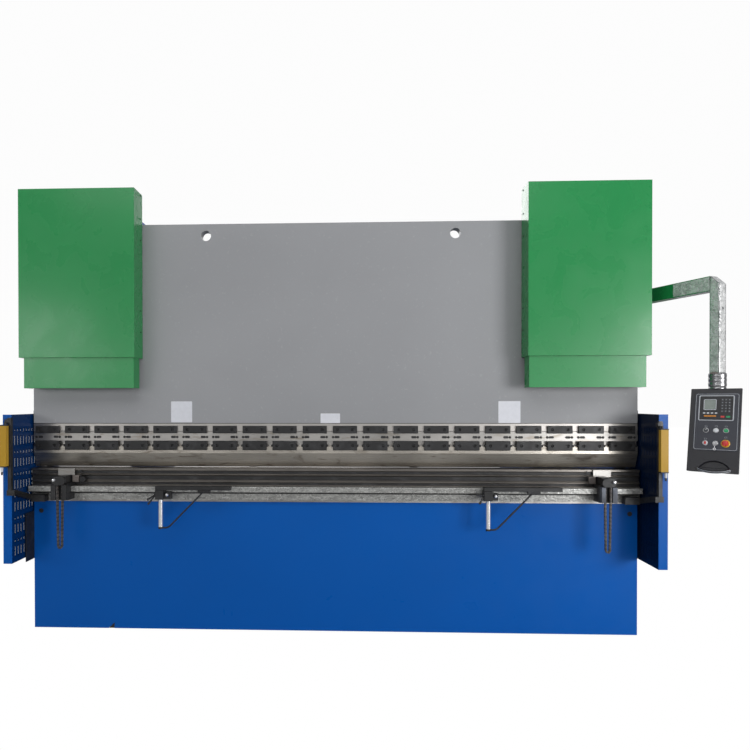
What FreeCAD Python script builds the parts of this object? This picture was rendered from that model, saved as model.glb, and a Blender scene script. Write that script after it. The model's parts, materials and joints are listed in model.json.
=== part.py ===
import FreeCAD, Part
import math
import os

from FreeCAD import Vector

# Hydraulic press brake with a 4 m bed. Millimetres, Z up, the operator stands at -Y.
# The origin is on the floor, in the middle of the bed, in the bending plane Y = 0.

os.makedirs("parts", exist_ok=True)

# Bed and tooling stack, from the floor up
MACHINE_LENGTH = 4000.0
PLATE_THICK = 60.0
BED_HEIGHT = 860.0
TABLE_RAIL_HEIGHT = 100.0
TABLE_RAIL_DEPTH = 120.0
TABLE_LEDGE_HEIGHT = 12.0
TABLE_LEDGE_DEPTH = 8.0
DIE_SIZE = 120.0
BEND_GAP = 8.0
PUNCH_HEIGHT = 113.0
CLAMP_RAIL_HEIGHT = 126.0
RAM_HEIGHT = 1379.0
RAM_SHOULDER_HEIGHT = 373.0
RAM_UPPER_LENGTH = 2580.0
RAM_STROKE = 200.0
LIFTING_HOLE_RADIUS = 34.0
LIFTING_HOLE_SPACING = 1650.0
LIFTING_HOLE_DROP = 78.0
BED_HOLE_RADIUS = 16.0
BED_HOLE_INSET = 48.0
BED_HOLE_DROP = 70.0
BED_NOTCH_WIDTH = 40.0
BED_NOTCH_HEIGHT = 40.0
BED_NOTCH_DEPTH = 30.0
BED_NOTCH_X = -1452.0

# Die grooves: height of the middle above the die's foot, and width
DIE_FRONT_GROOVES = [(94.0, 27.0), (57.0, 44.0), (20.0, 24.0)]
DIE_REAR_GROOVES = [(86.0, 30.0), (38.0, 44.0)]
DIE_TOP_GROOVES = [(-42.0, 16.0), (0.0, 50.0), (42.0, 16.0)]
DIE_STOP_LENGTH = 112.0
DIE_STOP_HEIGHT = 44.0
DIE_STOP_THICK = 12.0
DIE_STOP_X = 1756.0

# Clamp stations
STATION_COUNT = 20
CLAMP_WIDTH = 160.0
CLAMP_THICK = 22.0
CLAMP_CHAMFER = 5.0
UPPER_CLAMP_HEIGHT = 50.0
LOWER_CLAMP_HEIGHT = 62.0
CLAMP_OVERLAP = 14.0
CLAMP_RAIL_STEP = 2.0
RAIL_STEP_DROP = 10.0
JOINT_CHAMFER = 3.0
SLOT_LENGTH = 34.0
SLOT_HEIGHT = 16.0
SLOT_CORNER = 5.0
SLOT_DEPTH = 24.0
SLOT_OFFSET = 53.0
TANG_THICK = 14.0
TANG_HEIGHT = 30.0
TANG_CLEARANCE = 0.5
PUNCH_LAND = 20.0
PUNCH_NECK_HEIGHT = 62.0
PUNCH_NECK_REAR = 12.0
PUNCH_TIP_HALF = 3.0

# Front rail on the table, which carries the sheet supports
FRONT_RAIL_HEIGHT = 34.0
FRONT_RAIL_DEPTH = 50.0
FRONT_RAIL_DROP = 28.0
FRONT_RAIL_END_GAP = 5.0
FRONT_RAIL_GROOVE = 8.0

# Side frames
FRAME_CENTRE = 1480.0
FRAME_THICK = 60.0
FRAME_DEPTH = 1250.0
THROAT_DEPTH = 400.0
THROAT_HEIGHT = 640.0
THROAT_RADIUS = 120.0
NOSE_FRONT = 60.0
NOSE_ROD_GAP = 10.0
HEAD_REAR_HEIGHT = 2450.0
HEAD_SLOPE_DEPTH = 350.0
SEAT_THICK = 70.0
SEAT_GAP = 10.0
SEAT_HALF_WIDTH = 160.0
SEAT_DEPTH = 200.0
BASE_PLATE_WIDTH = 140.0
BASE_PLATE_LENGTH = 240.0
BASE_PLATE_THICK = 30.0
BASE_PLATE_FRONT = 60.0
ANCHOR_HOLE_RADIUS = 15.0
REAR_BEAM_SIZE = 180.0
REAR_BEAM_INSET = 30.0
REAR_BEAM_Z = 160.0

# Cylinders and guides
CYLINDER_RADIUS = 150.0
CYLINDER_HEIGHT = 660.0
CYLINDER_FLANGE_HALF = 155.0
CYLINDER_FLANGE_THICK = 45.0
CYLINDER_CAP_THICK = 50.0
BORE_RADIUS = 115.0
PISTON_HEIGHT = 80.0
PISTON_CLEARANCE = 0.5
ROD_RADIUS = 90.0
ROD_LENGTH = 620.0
ROD_CLEARANCE = 0.5
GUIDE_WIDTH = 100.0
GUIDE_TOP_GAP = 10.0
GUIDE_CLEARANCE = 0.3

# Cylinder covers and their skirts
COVER_INNER = 1252.0
COVER_OUTER = 2012.0
COVER_FRONT = 180.0
COVER_REAR = 36.0
COVER_BOTTOM = 1810.0
COVER_HEADROOM = 260.0
COVER_SHEET = 5.0
COVER_FLANGE = 40.0
COVER_ROOF_REAR = 260.0
COVER_ROOF_GAP = 85.0
SKIRT_INNER = 1262.0
SKIRT_OUTER = 1986.0
SKIRT_FRONT = 165.0
SKIRT_REAR = 70.0
SKIRT_DROP = 198.0

# Side guards on their posts
GUARD_PLANE = 2012.0
GUARD_SHEET = 4.0
GUARD_FRONT = 262.0
GUARD_BOTTOM = 495.0
GUARD_TOP = 1443.0
GUARD_FLANGE = 55.0
GUARD_HINGE_Y = 140.0
HINGE_RADIUS = 12.0
HINGE_PIN_RADIUS = 5.0
HINGE_HEIGHT = 60.0
HINGE_HEIGHTS = [640.0, 1290.0]
HINGE_GAP = 0.4
CUT_PAST = 1.0
SLOT_COLUMNS = 11
SLOT_COLUMN_PITCH = 32.0
GUARD_SLOT_WIDTH = 11.0
SLOT_BANDS = 6
SLOT_BAND_PITCH = 142.0
SHORT_SLOT = 24.0
LONG_SLOT = 72.0
SLOT_WEB = 18.0
POST_SIZE = 60.0
POST_INNER = 1935.0
POST_TOP = 1460.0
POST_ARM_HEIGHTS = [200.0, 740.0]
END_PLATE_THICK = 5.0
END_PLATE_FRONT = 125.0
END_PLATE_REAR = 20.0
END_PLATE_BOTTOM = 468.0
END_PLATE_TOP = 788.0

# Light curtains on arms from the table
CURTAIN_CLAMP_INNER = 1885.0
CURTAIN_CLAMP_BOTTOM = 864.0
CURTAIN_CLAMP_TOP = 910.0
CURTAIN_CLAMP_FRONT = 110.0
CURTAIN_ARM_INNER = 1977.0
CURTAIN_ARM_OUTER = 2007.0
CURTAIN_ARM_HEIGHT = 34.0
CURTAIN_ARM_REAR_Z = 863.0
CURTAIN_ARM_FRONT_Z = 911.0
CURTAIN_FOOT_OUTER = 2027.0
CURTAIN_FRONT = 318.0
CURTAIN_DEPTH = 27.0
CURTAIN_WIDTH = 57.0
CURTAIN_INNER = 1999.0
CURTAIN_BOTTOM = 1092.0
CURTAIN_TOP = 1358.0
CURTAIN_POST_SIZE = 22.0
CURTAIN_POST_INNER = 1997.0
CURTAIN_POST_TOP = 1402.0
LEFT_CURTAIN_LIFT = 22.0
CURTAIN_PLUG_RADIUS = 8.0
CURTAIN_PLUG_INSET = 36.0
CURTAIN_PLUG_LENGTH = 36.0

# Chain devices on the front rail
CHAIN_X = 1750.0
CHAIN_BODY_INNER = 32.0
CHAIN_BODY_OUTER = 71.0
CHAIN_BODY_TOP = 990.0
CHAIN_BODY_BOTTOM = 881.0
CHAIN_BODY_DEPTH = 40.0
CHAIN_CHEEK_DEPTH = 36.0
CHAIN_CHEEK_THICK = 10.0
CHAIN_WHEEL_Z = 1010.0
CHAIN_WHEEL_RADIUS = 19.0
CHAIN_AXLE_RADIUS = 8.0
CHAIN_TAIL_RADIUS = 12.0
CHAIN_DROP = 424.0
CHAIN_THICK = 9.0
CHAIN_WIDTH = 10.0
CHAIN_CLEARANCE = 0.3

# Swivelling sheet supports on the front rail
LEFT_SUPPORT_X = -1094.0
RIGHT_SUPPORT_X = 1010.0
SUPPORT_COLUMN_Y = -152.0
SUPPORT_COLUMN_RADIUS = 14.5
SUPPORT_COLUMN_BOTTOM = 701.0
SUPPORT_CLEARANCE = 0.3
SUPPORT_HEAD_LEFT = 30.0
SUPPORT_HEAD_RIGHT = 24.0
SUPPORT_HEAD_FRONT = 24.0
SUPPORT_HEAD_BOTTOM = 892.0
SUPPORT_HEAD_TOP = 953.0
SUPPORT_LUG_REACH = 65.0
SUPPORT_LUG_FRONT = 146.0
SUPPORT_LUG_TOP = 938.0
SUPPORT_BAR_HEIGHT = 25.0
SUPPORT_BAR_WIDTH = 40.0
SUPPORT_BAR_BACK = 30.0
SUPPORT_BAR_LENGTH = 460.0
SUPPORT_STRUT_FOOT = 49.0
SUPPORT_STRUT_REACH = 288.0
SUPPORT_STRUT_RADIUS = 6.0
SUPPORT_BLOCK_START = 245.0
SUPPORT_BLOCK_END = 325.0
SUPPORT_BLOCK_DEPTH = 28.0
SUPPORT_BLOCK_HEIGHT = 14.0

# Control pendant on its swinging arm
ARM_PIVOT_X = 2100.0
ARM_PIVOT_Y = 107.0
ARM_ANGLE = -67.0
ARM_LENGTH = 505.0
ARM_BOTTOM = 2174.0
ARM_HEIGHT = 88.0
ARM_WIDTH = 60.0
ARM_BOSS_RADIUS = 48.0
ARM_PIN_RADIUS = 20.0
ARM_PIN_CLEARANCE = 0.3
BRACKET_THICK = 60.0
BRACKET_FRONT = 160.0
BRACKET_WIDTH = 150.0
TUBE_SIZE = 57.0
TUBE_BEVEL = 53.0
TUBE_BOTTOM = 1687.0
COLLAR_RADIUS = 43.0
COLLAR_RING_DEPTH = 6.0
COLLAR_RINGS = 3
COLLAR_HEIGHT = 80.0
SPIGOT_RADIUS = 20.0
SPIGOT_LENGTH = 45.0
SPIGOT_CLEARANCE = 0.3
NECK_RADIUS = 32.0
NECK_HEIGHT = 10.0
BOX_ANGLE = -42.0
BOX_WIDTH = 254.0
BOX_HEIGHT = 520.0
BOX_BACK = 57.0
BOX_TOP_FRONT = 34.0
BOX_FOOT_FRONT = 150.0
BOX_FOOT_DEPTH = 40.0
PANEL_WIDTH = 206.0
PANEL_HEIGHT = 340.0
PANEL_DROP = 28.0
PANEL_THICK = 3.0
PANEL_CORNER = 12.0
BUTTON_ROWS = [250.0, 325.0]
BUTTON_COLUMNS = [-58.0, -8.0, 45.0]
BUTTON_RADIUS = 13.0
BUTTON_HEIGHT = 9.0
STOP_RING_RADIUS = 24.0
STOP_CAP_RADIUS = 18.0
STOP_HEIGHT = 26.0
HANDLE_WIDTH = 176.0
HANDLE_REACH = 44.0
HANDLE_THICK = 14.0
HANDLE_HEIGHT = 12.0
HANDLE_RISE = 34.0
HANDLE_TILT = 26.0
POCKET_WIDTH = 168.0
POCKET_HEIGHT = 40.0
POCKET_DEPTH = 16.0

# Oil tank, pump and pipes between the frames
TANK_FRONT = 300.0
TANK_DEPTH = 480.0
TANK_BOTTOM = 2030.0
TANK_HEIGHT = 430.0
TANK_LID_THICK = 12.0
TANK_LID_LIP = 20.0
MOTOR_RADIUS = 105.0
MOTOR_LENGTH = 260.0
MOTOR_X = -420.0
MOTOR_FIN_COUNT = 16
MOTOR_FIN_DEPTH = 12.0
MOTOR_FIN_SHARE = 0.4
MOTOR_CAP_HEIGHT = 45.0
VALVE_BLOCK_SIZE = 160.0
PIPE_RADIUS = 15.0
PIPE_FITTING_HALF = 22.0
PIPE_SPREAD = 50.0
PIPE_INSET = 30.0
PIPE_END_GAP = 0.2
VALVE_INSET = 110.0

# Back gauge behind the bed
GAUGE_RAIL_X = 900.0
GAUGE_RAIL_WIDTH = 80.0
GAUGE_RAIL_HEIGHT = 120.0
GAUGE_RAIL_LENGTH = 820.0
GAUGE_RAIL_DROP = 30.0
GAUGE_BEAM_LENGTH = 2600.0
GAUGE_BEAM_DEPTH = 100.0
GAUGE_BEAM_HEIGHT = 120.0
GAUGE_BEAM_Y = 560.0
GAUGE_FINGER_X = 620.0
GAUGE_FINGER_WIDTH = 50.0
GAUGE_FINGER_LENGTH = 260.0
GAUGE_FINGER_HEIGHT = 30.0

# Electrical cabinet on the right frame
CABINET_WIDTH = 880.0
CABINET_FRONT = 420.0
CABINET_DEPTH = 640.0
CABINET_BOTTOM = 500.0
CABINET_HEIGHT = 880.0
CABINET_DOOR_THICK = 20.0
CABINET_DOOR_MARGIN = 15.0

HALF_LENGTH = MACHINE_LENGTH / 2.0
HALF_PLATE = PLATE_THICK / 2.0
TABLE_TOP = BED_HEIGHT + TABLE_RAIL_HEIGHT
DIE_TOP = TABLE_TOP + DIE_SIZE
PUNCH_TIP = DIE_TOP + BEND_GAP
CLAMP_RAIL_BOTTOM = PUNCH_TIP + PUNCH_HEIGHT
RAM_BOTTOM = CLAMP_RAIL_BOTTOM + CLAMP_RAIL_HEIGHT
RAM_SHOULDER = RAM_BOTTOM + RAM_SHOULDER_HEIGHT
RAM_TOP = RAM_BOTTOM + RAM_HEIGHT
FRAME_INNER = FRAME_CENTRE - FRAME_THICK / 2.0
FRAME_OUTER = FRAME_CENTRE + FRAME_THICK / 2.0
THROAT_TOP = BED_HEIGHT + THROAT_HEIGHT
SEAT_BOTTOM = RAM_SHOULDER + RAM_STROKE + SEAT_GAP
SEAT_TOP = SEAT_BOTTOM + SEAT_THICK
CYLINDER_TOP = SEAT_TOP + CYLINDER_HEIGHT
COVER_TOP = CYLINDER_TOP + COVER_HEADROOM
FRAME_TOP = COVER_TOP - COVER_SHEET
SKIRT_BOTTOM = COVER_BOTTOM - SKIRT_DROP
REAR_BEAM_Y = FRAME_DEPTH - REAR_BEAM_INSET - REAR_BEAM_SIZE
GUIDE_TOP = RAM_SHOULDER - GUIDE_TOP_GAP
FRONT_RAIL_FRONT = TABLE_RAIL_DEPTH / 2.0 + FRONT_RAIL_DEPTH
FRONT_RAIL_BOTTOM = TABLE_TOP - FRONT_RAIL_DROP
FRONT_RAIL_TOP = FRONT_RAIL_BOTTOM + FRONT_RAIL_HEIGHT
CLAMP_RAIL_FRONT = HALF_PLATE + CLAMP_RAIL_STEP
UPPER_CLAMP_BOTTOM = RAM_BOTTOM - CLAMP_OVERLAP
STATION_PITCH = MACHINE_LENGTH / STATION_COUNT
BOX_TOP = TUBE_BOTTOM - COLLAR_HEIGHT - HINGE_GAP - NECK_HEIGHT


def block(low, high):
    """A box from two opposite corners, given in any order."""
    near = [min(pair) for pair in zip(low, high)]
    far = [max(pair) for pair in zip(low, high)]
    size = [b - a for a, b in zip(near, far)]
    return Part.makeBox(size[0], size[1], size[2], Vector(*near))


def prism_x(outline, x_low, x_high):
    """A (y, z) outline run from x_low to x_high."""
    face = Part.Face(Part.makePolygon([Vector(x_low, y, z) for y, z in outline + outline[:1]]))
    return face.extrude(Vector(x_high - x_low, 0, 0))


def prism_y(outline, y_low, y_high):
    """An (x, z) outline run from y_low to y_high."""
    face = Part.Face(Part.makePolygon([Vector(x, y_low, z) for x, z in outline + outline[:1]]))
    return face.extrude(Vector(0, y_high - y_low, 0))


def prism_z(outline, z_low, z_high):
    """An (x, y) outline run from z_low to z_high."""
    face = Part.Face(Part.makePolygon([Vector(x, y, z_low) for x, y in outline + outline[:1]]))
    return face.extrude(Vector(0, 0, z_high - z_low))


def upright(x, y, z_low, z_high, radius):
    return Part.makeCylinder(radius, z_high - z_low, Vector(x, y, z_low))


def along_y(x, z, y_low, y_high, radius):
    return Part.makeCylinder(radius, y_high - y_low, Vector(x, y_low, z), Vector(0, 1, 0))


def along_x(y, z, x_low, x_high, radius):
    return Part.makeCylinder(radius, x_high - x_low, Vector(x_low, y, z), Vector(1, 0, 0))


def mirrored(shape):
    return shape.mirror(Vector(0, 0, 0), Vector(1, 0, 0))


def save(name, *shapes):
    solids = [solid for shape in shapes for solid in shape.Solids]
    whole = solids[0] if len(solids) == 1 else Part.makeCompound(solids)
    whole.exportStep("parts/" + name + ".step")


def save_pair(name, shape):
    """The right-hand piece and its mirror image on the left."""
    save("right_" + name, shape)
    save("left_" + name, mirrored(shape))


def eight_sided(x, z, length, height, y_low, y_high):
    """A bar with cut corners, lying along X and run from y_low to y_high."""
    half = length / 2.0
    rise = height / 2.0
    cut = SLOT_CORNER
    outline = [(x - half, z - rise + cut), (x - half + cut, z - rise), (x + half - cut, z - rise),
               (x + half, z - rise + cut), (x + half, z + rise - cut), (x + half - cut, z + rise),
               (x - half + cut, z + rise), (x - half, z + rise - cut)]
    return prism_y(outline, y_low, y_high)


def station_centres():
    first = -HALF_LENGTH + STATION_PITCH / 2.0
    return [first + STATION_PITCH * index for index in range(STATION_COUNT)]


def bed_plate():
    plate = block((-HALF_LENGTH, -HALF_PLATE, 0), (HALF_LENGTH, HALF_PLATE, BED_HEIGHT))
    cuts = []
    for side in (-1, 1):
        hole_x = side * (HALF_LENGTH - BED_HOLE_INSET)
        hole_z = BED_HEIGHT - BED_HOLE_DROP
        cuts.append(along_y(hole_x, hole_z, -HALF_PLATE - CUT_PAST, HALF_PLATE + CUT_PAST, BED_HOLE_RADIUS))
    corner = BED_NOTCH_X - BED_NOTCH_WIDTH
    notch = [(corner, 0), (BED_NOTCH_X, 0), (BED_NOTCH_X, BED_NOTCH_HEIGHT)]
    cuts.append(prism_y(notch, -HALF_PLATE - CUT_PAST, -HALF_PLATE + BED_NOTCH_DEPTH))
    return plate.cut(cuts)


def table_rail():
    half = TABLE_RAIL_DEPTH / 2.0
    inset = half - TABLE_LEDGE_DEPTH
    ledge = BED_HEIGHT + TABLE_LEDGE_HEIGHT
    outline = [(-inset, BED_HEIGHT), (inset, BED_HEIGHT), (inset, ledge), (half, ledge),
               (half, TABLE_TOP), (-half, TABLE_TOP), (-half, ledge), (-inset, ledge)]
    return prism_x(outline, -HALF_LENGTH, HALF_LENGTH)


def front_guide_rail():
    back = -TABLE_RAIL_DEPTH / 2.0
    front = -FRONT_RAIL_FRONT
    middle = (FRONT_RAIL_BOTTOM + FRONT_RAIL_TOP) / 2.0
    half = FRONT_RAIL_GROOVE / 2.0
    outline = [(back, FRONT_RAIL_BOTTOM), (back, FRONT_RAIL_TOP), (front, FRONT_RAIL_TOP),
               (front, middle + half), (front + FRONT_RAIL_GROOVE, middle + half),
               (front + FRONT_RAIL_GROOVE, middle - half), (front, middle - half),
               (front, FRONT_RAIL_BOTTOM)]
    reach = HALF_LENGTH - FRONT_RAIL_END_GAP
    return prism_x(outline, -reach, reach)


def lower_die():
    """Square multi-V block: right-angled grooves on the front, top and rear faces."""
    half = DIE_SIZE / 2.0
    outline = [(-half, TABLE_TOP)]
    for height, width in sorted(DIE_FRONT_GROOVES):
        middle = TABLE_TOP + height
        outline += [(-half, middle - width / 2.0), (-half + width / 2.0, middle),
                    (-half, middle + width / 2.0)]
    outline.append((-half, DIE_TOP))
    for middle, width in sorted(DIE_TOP_GROOVES):
        outline += [(middle - width / 2.0, DIE_TOP), (middle, DIE_TOP - width / 2.0),
                    (middle + width / 2.0, DIE_TOP)]
    outline.append((half, DIE_TOP))
    for height, width in sorted(DIE_REAR_GROOVES, reverse=True):
        middle = TABLE_TOP + height
        outline += [(half, middle + width / 2.0), (half - width / 2.0, middle),
                    (half, middle - width / 2.0)]
    outline.append((half, TABLE_TOP))
    return prism_x(outline, -HALF_LENGTH, HALF_LENGTH)


def die_stop():
    half = DIE_STOP_LENGTH / 2.0
    face = -DIE_SIZE / 2.0
    low = (DIE_STOP_X - half, face - DIE_STOP_THICK, DIE_TOP - DIE_STOP_HEIGHT)
    return block(low, (DIE_STOP_X + half, face, DIE_TOP))


def ram_plate():
    upper = RAM_UPPER_LENGTH / 2.0
    outline = [(-HALF_LENGTH, RAM_BOTTOM), (HALF_LENGTH, RAM_BOTTOM),
               (HALF_LENGTH, RAM_SHOULDER), (upper, RAM_SHOULDER), (upper, RAM_TOP),
               (-upper, RAM_TOP), (-upper, RAM_SHOULDER), (-HALF_LENGTH, RAM_SHOULDER)]
    plate = prism_y(outline, -HALF_PLATE, HALF_PLATE)
    hole_z = RAM_TOP - LIFTING_HOLE_DROP
    hole_x = LIFTING_HOLE_SPACING / 2.0
    holes = [along_y(x, hole_z, -HALF_PLATE - CUT_PAST, HALF_PLATE + CUT_PAST,
                     LIFTING_HOLE_RADIUS) for x in (-hole_x, hole_x)]
    return plate.cut(holes)


def clamp_rail():
    """Stepped bar under the ram, with two slots a station and a seat for the punch tang."""
    front = -CLAMP_RAIL_FRONT
    seat = front + TANG_THICK + TANG_CLEARANCE
    seat_top = CLAMP_RAIL_BOTTOM + LOWER_CLAMP_HEIGHT
    step = UPPER_CLAMP_BOTTOM - RAIL_STEP_DROP
    outline = [(seat, CLAMP_RAIL_BOTTOM), (HALF_PLATE, CLAMP_RAIL_BOTTOM),
               (HALF_PLATE, RAM_BOTTOM), (-HALF_PLATE + JOINT_CHAMFER, RAM_BOTTOM),
               (-HALF_PLATE, RAM_BOTTOM - JOINT_CHAMFER), (-HALF_PLATE, step), (front, step),
               (front, seat_top), (seat, seat_top)]
    rail = prism_x(outline, -HALF_LENGTH, HALF_LENGTH)
    slot_z = (seat_top + UPPER_CLAMP_BOTTOM) / 2.0
    slots = []
    for centre in station_centres():
        for side in (-1, 1):
            slots.append(eight_sided(centre + side * SLOT_OFFSET, slot_z, SLOT_LENGTH, SLOT_HEIGHT,
                                     front - CUT_PAST, front + SLOT_DEPTH))
    return rail.cut(slots)


def clamp_plate(centre, back, bottom, height):
    """One clamp plate with its front edges chamfered."""
    front = back - CLAMP_THICK
    top = bottom + height
    outline = [(back, bottom), (back, top), (front + CLAMP_CHAMFER, top),
               (front, top - CLAMP_CHAMFER), (front, bottom + CLAMP_CHAMFER),
               (front + CLAMP_CHAMFER, bottom)]
    return prism_x(outline, centre - CLAMP_WIDTH / 2.0, centre + CLAMP_WIDTH / 2.0)


def upper_clamp_plates():
    return [clamp_plate(centre, -HALF_PLATE, UPPER_CLAMP_BOTTOM, UPPER_CLAMP_HEIGHT)
            for centre in station_centres()]


def lower_clamp_plates():
    return [clamp_plate(centre, -CLAMP_RAIL_FRONT, CLAMP_RAIL_BOTTOM, LOWER_CLAMP_HEIGHT)
            for centre in station_centres()]


def punch():
    """Straight punch: a tang between rail and clamps, a land, and a blade to the tip."""
    front = -CLAMP_RAIL_FRONT
    land = CLAMP_RAIL_BOTTOM - PUNCH_LAND
    neck = PUNCH_TIP + PUNCH_NECK_HEIGHT
    outline = [(front, CLAMP_RAIL_BOTTOM + TANG_HEIGHT), (front, land),
               (-PUNCH_TIP_HALF, PUNCH_TIP + PUNCH_TIP_HALF), (0, PUNCH_TIP),
               (PUNCH_TIP_HALF, PUNCH_TIP + PUNCH_TIP_HALF), (PUNCH_NECK_REAR, neck),
               (HALF_PLATE, land), (HALF_PLATE, CLAMP_RAIL_BOTTOM),
               (front + TANG_THICK, CLAMP_RAIL_BOTTOM),
               (front + TANG_THICK, CLAMP_RAIL_BOTTOM + TANG_HEIGHT)]
    return prism_x(outline, -HALF_LENGTH, HALF_LENGTH)


def side_frame():
    """Right C-frame with a rounded throat and the seat block for its cylinder."""
    sill = (THROAT_DEPTH - THROAT_RADIUS, BED_HEIGHT)
    corners = [(HALF_PLATE, 0), (HALF_PLATE, BED_HEIGHT), sill]
    diagonal = THROAT_RADIUS * math.sin(math.pi / 4.0)
    low_mid = (THROAT_DEPTH - THROAT_RADIUS + diagonal, BED_HEIGHT + THROAT_RADIUS - diagonal)
    low_end = (THROAT_DEPTH, BED_HEIGHT + THROAT_RADIUS)
    high_end = (THROAT_DEPTH, THROAT_TOP - THROAT_RADIUS)
    high_mid = (THROAT_DEPTH - THROAT_RADIUS + diagonal, THROAT_TOP - THROAT_RADIUS + diagonal)
    lintel = (THROAT_DEPTH - THROAT_RADIUS, THROAT_TOP)
    rod_side = ROD_RADIUS + NOSE_ROD_GAP
    head = [lintel, (NOSE_FRONT, THROAT_TOP), (NOSE_FRONT, GUIDE_TOP), (rod_side, GUIDE_TOP),
            (rod_side, SEAT_TOP), (CYLINDER_FLANGE_HALF, SEAT_TOP),
            (CYLINDER_FLANGE_HALF, FRAME_TOP),
            (FRAME_DEPTH - HEAD_SLOPE_DEPTH, FRAME_TOP), (FRAME_DEPTH, HEAD_REAR_HEIGHT),
            (FRAME_DEPTH, 0), (HALF_PLATE, 0)]

    def point(pair):
        return Vector(FRAME_INNER, pair[0], pair[1])

    edges = Part.makePolygon([point(pair) for pair in corners]).Edges
    edges.append(Part.Arc(point(sill), point(low_mid), point(low_end)).toShape())
    edges.append(Part.makeLine(point(low_end), point(high_end)))
    edges.append(Part.Arc(point(high_end), point(high_mid), point(lintel)).toShape())
    edges += Part.makePolygon([point(pair) for pair in head]).Edges
    plate = Part.Face(Part.Wire(edges)).extrude(Vector(FRAME_THICK, 0, 0))
    seat = block((FRAME_CENTRE - SEAT_HALF_WIDTH, -CYLINDER_FLANGE_HALF, SEAT_BOTTOM),
                 (FRAME_CENTRE + SEAT_HALF_WIDTH, SEAT_DEPTH, SEAT_TOP))
    bore = upright(FRAME_CENTRE, 0, SEAT_BOTTOM - CUT_PAST, SEAT_TOP + CUT_PAST, ROD_RADIUS + ROD_CLEARANCE)
    return plate.fuse(seat).removeSplitter().cut(bore)


def base_plates():
    plates = []
    for side in (-1, 1):
        for front in (BASE_PLATE_FRONT, FRAME_DEPTH - BASE_PLATE_FRONT - BASE_PLATE_LENGTH):
            low = (side * FRAME_OUTER, front, 0)
            high = (side * (FRAME_OUTER + BASE_PLATE_WIDTH), front + BASE_PLATE_LENGTH,
                    BASE_PLATE_THICK)
            hole_x = side * (FRAME_OUTER + BASE_PLATE_WIDTH / 2.0)
            hole = upright(hole_x, front + BASE_PLATE_LENGTH / 2.0, -CUT_PAST, BASE_PLATE_THICK + CUT_PAST,
                           ANCHOR_HOLE_RADIUS)
            plates.append(block(low, high).cut(hole))
    return plates


def rear_beam():
    low = (-FRAME_INNER, REAR_BEAM_Y, REAR_BEAM_Z)
    return block(low, (FRAME_INNER, REAR_BEAM_Y + REAR_BEAM_SIZE, REAR_BEAM_Z + REAR_BEAM_SIZE))


def cylinder():
    """Right cylinder: flange, barrel and end cap round a bore that is shut at the top."""
    flange = block((FRAME_CENTRE - CYLINDER_FLANGE_HALF, -CYLINDER_FLANGE_HALF, SEAT_TOP),
                   (FRAME_CENTRE + CYLINDER_FLANGE_HALF, CYLINDER_FLANGE_HALF,
                    SEAT_TOP + CYLINDER_FLANGE_THICK))
    barrel = upright(FRAME_CENTRE, 0, SEAT_TOP, CYLINDER_TOP, CYLINDER_RADIUS)
    gland_top = SEAT_TOP + CYLINDER_FLANGE_THICK
    bore = upright(FRAME_CENTRE, 0, gland_top, CYLINDER_TOP - CYLINDER_CAP_THICK, BORE_RADIUS)
    rod_way = upright(FRAME_CENTRE, 0, SEAT_TOP - CUT_PAST, gland_top + CUT_PAST, ROD_RADIUS + ROD_CLEARANCE)
    return flange.fuse(barrel).removeSplitter().cut([bore, rod_way])


def piston_rod():
    top = RAM_SHOULDER + ROD_LENGTH
    rod = upright(FRAME_CENTRE, 0, RAM_SHOULDER, top, ROD_RADIUS)
    piston = upright(FRAME_CENTRE, 0, top - PISTON_HEIGHT, top, BORE_RADIUS - PISTON_CLEARANCE)
    return rod.fuse(piston).removeSplitter()


def ram_guide():
    """Guide bar on the frame's nose, just behind the ram."""
    low = (FRAME_CENTRE - GUIDE_WIDTH / 2.0, HALF_PLATE + GUIDE_CLEARANCE, THROAT_TOP)
    return block(low, (FRAME_CENTRE + GUIDE_WIDTH / 2.0, NOSE_FRONT, GUIDE_TOP))


def cover():
    """Right cylinder cover: bent sheet, open below and behind, with a roof on the frame."""
    front = -COVER_FRONT
    rear = -COVER_REAR
    roof_inner = RAM_UPPER_LENGTH / 2.0 + COVER_ROOF_GAP
    face = block((COVER_INNER, front, COVER_BOTTOM), (COVER_OUTER, front + COVER_SHEET, COVER_TOP))
    inner = block((COVER_INNER, front, COVER_BOTTOM), (COVER_INNER + COVER_SHEET, rear, COVER_TOP))
    outer = block((COVER_OUTER - COVER_SHEET, front, COVER_BOTTOM), (COVER_OUTER, rear, COVER_TOP))
    roof = prism_z([(COVER_INNER, front), (COVER_OUTER, front), (COVER_OUTER, COVER_ROOF_REAR),
                    (roof_inner, COVER_ROOF_REAR), (roof_inner, rear), (COVER_INNER, rear)],
                   COVER_TOP - COVER_SHEET, COVER_TOP)
    lip = block((COVER_INNER, front, COVER_BOTTOM), (COVER_OUTER, rear, COVER_BOTTOM + COVER_SHEET))
    lip_hole = block((COVER_INNER + COVER_FLANGE, front + COVER_FLANGE, COVER_BOTTOM - CUT_PAST),
                     (COVER_OUTER - COVER_FLANGE, rear + CUT_PAST,
                      COVER_BOTTOM + COVER_SHEET + CUT_PAST))
    return face.fuse([inner, outer, roof, lip.cut(lip_hole)]).removeSplitter()


def cover_skirt():
    """Right skirt under the cover's lip: three bent sides of sheet."""
    front = -SKIRT_FRONT
    rear = -SKIRT_REAR
    outside = block((SKIRT_INNER, front, SKIRT_BOTTOM), (SKIRT_OUTER, rear, COVER_BOTTOM))
    inside = block((SKIRT_INNER + COVER_SHEET, front + COVER_SHEET, SKIRT_BOTTOM - CUT_PAST),
                   (SKIRT_OUTER - COVER_SHEET, rear + CUT_PAST, COVER_BOTTOM + CUT_PAST))
    return outside.cut(inside)


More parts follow.
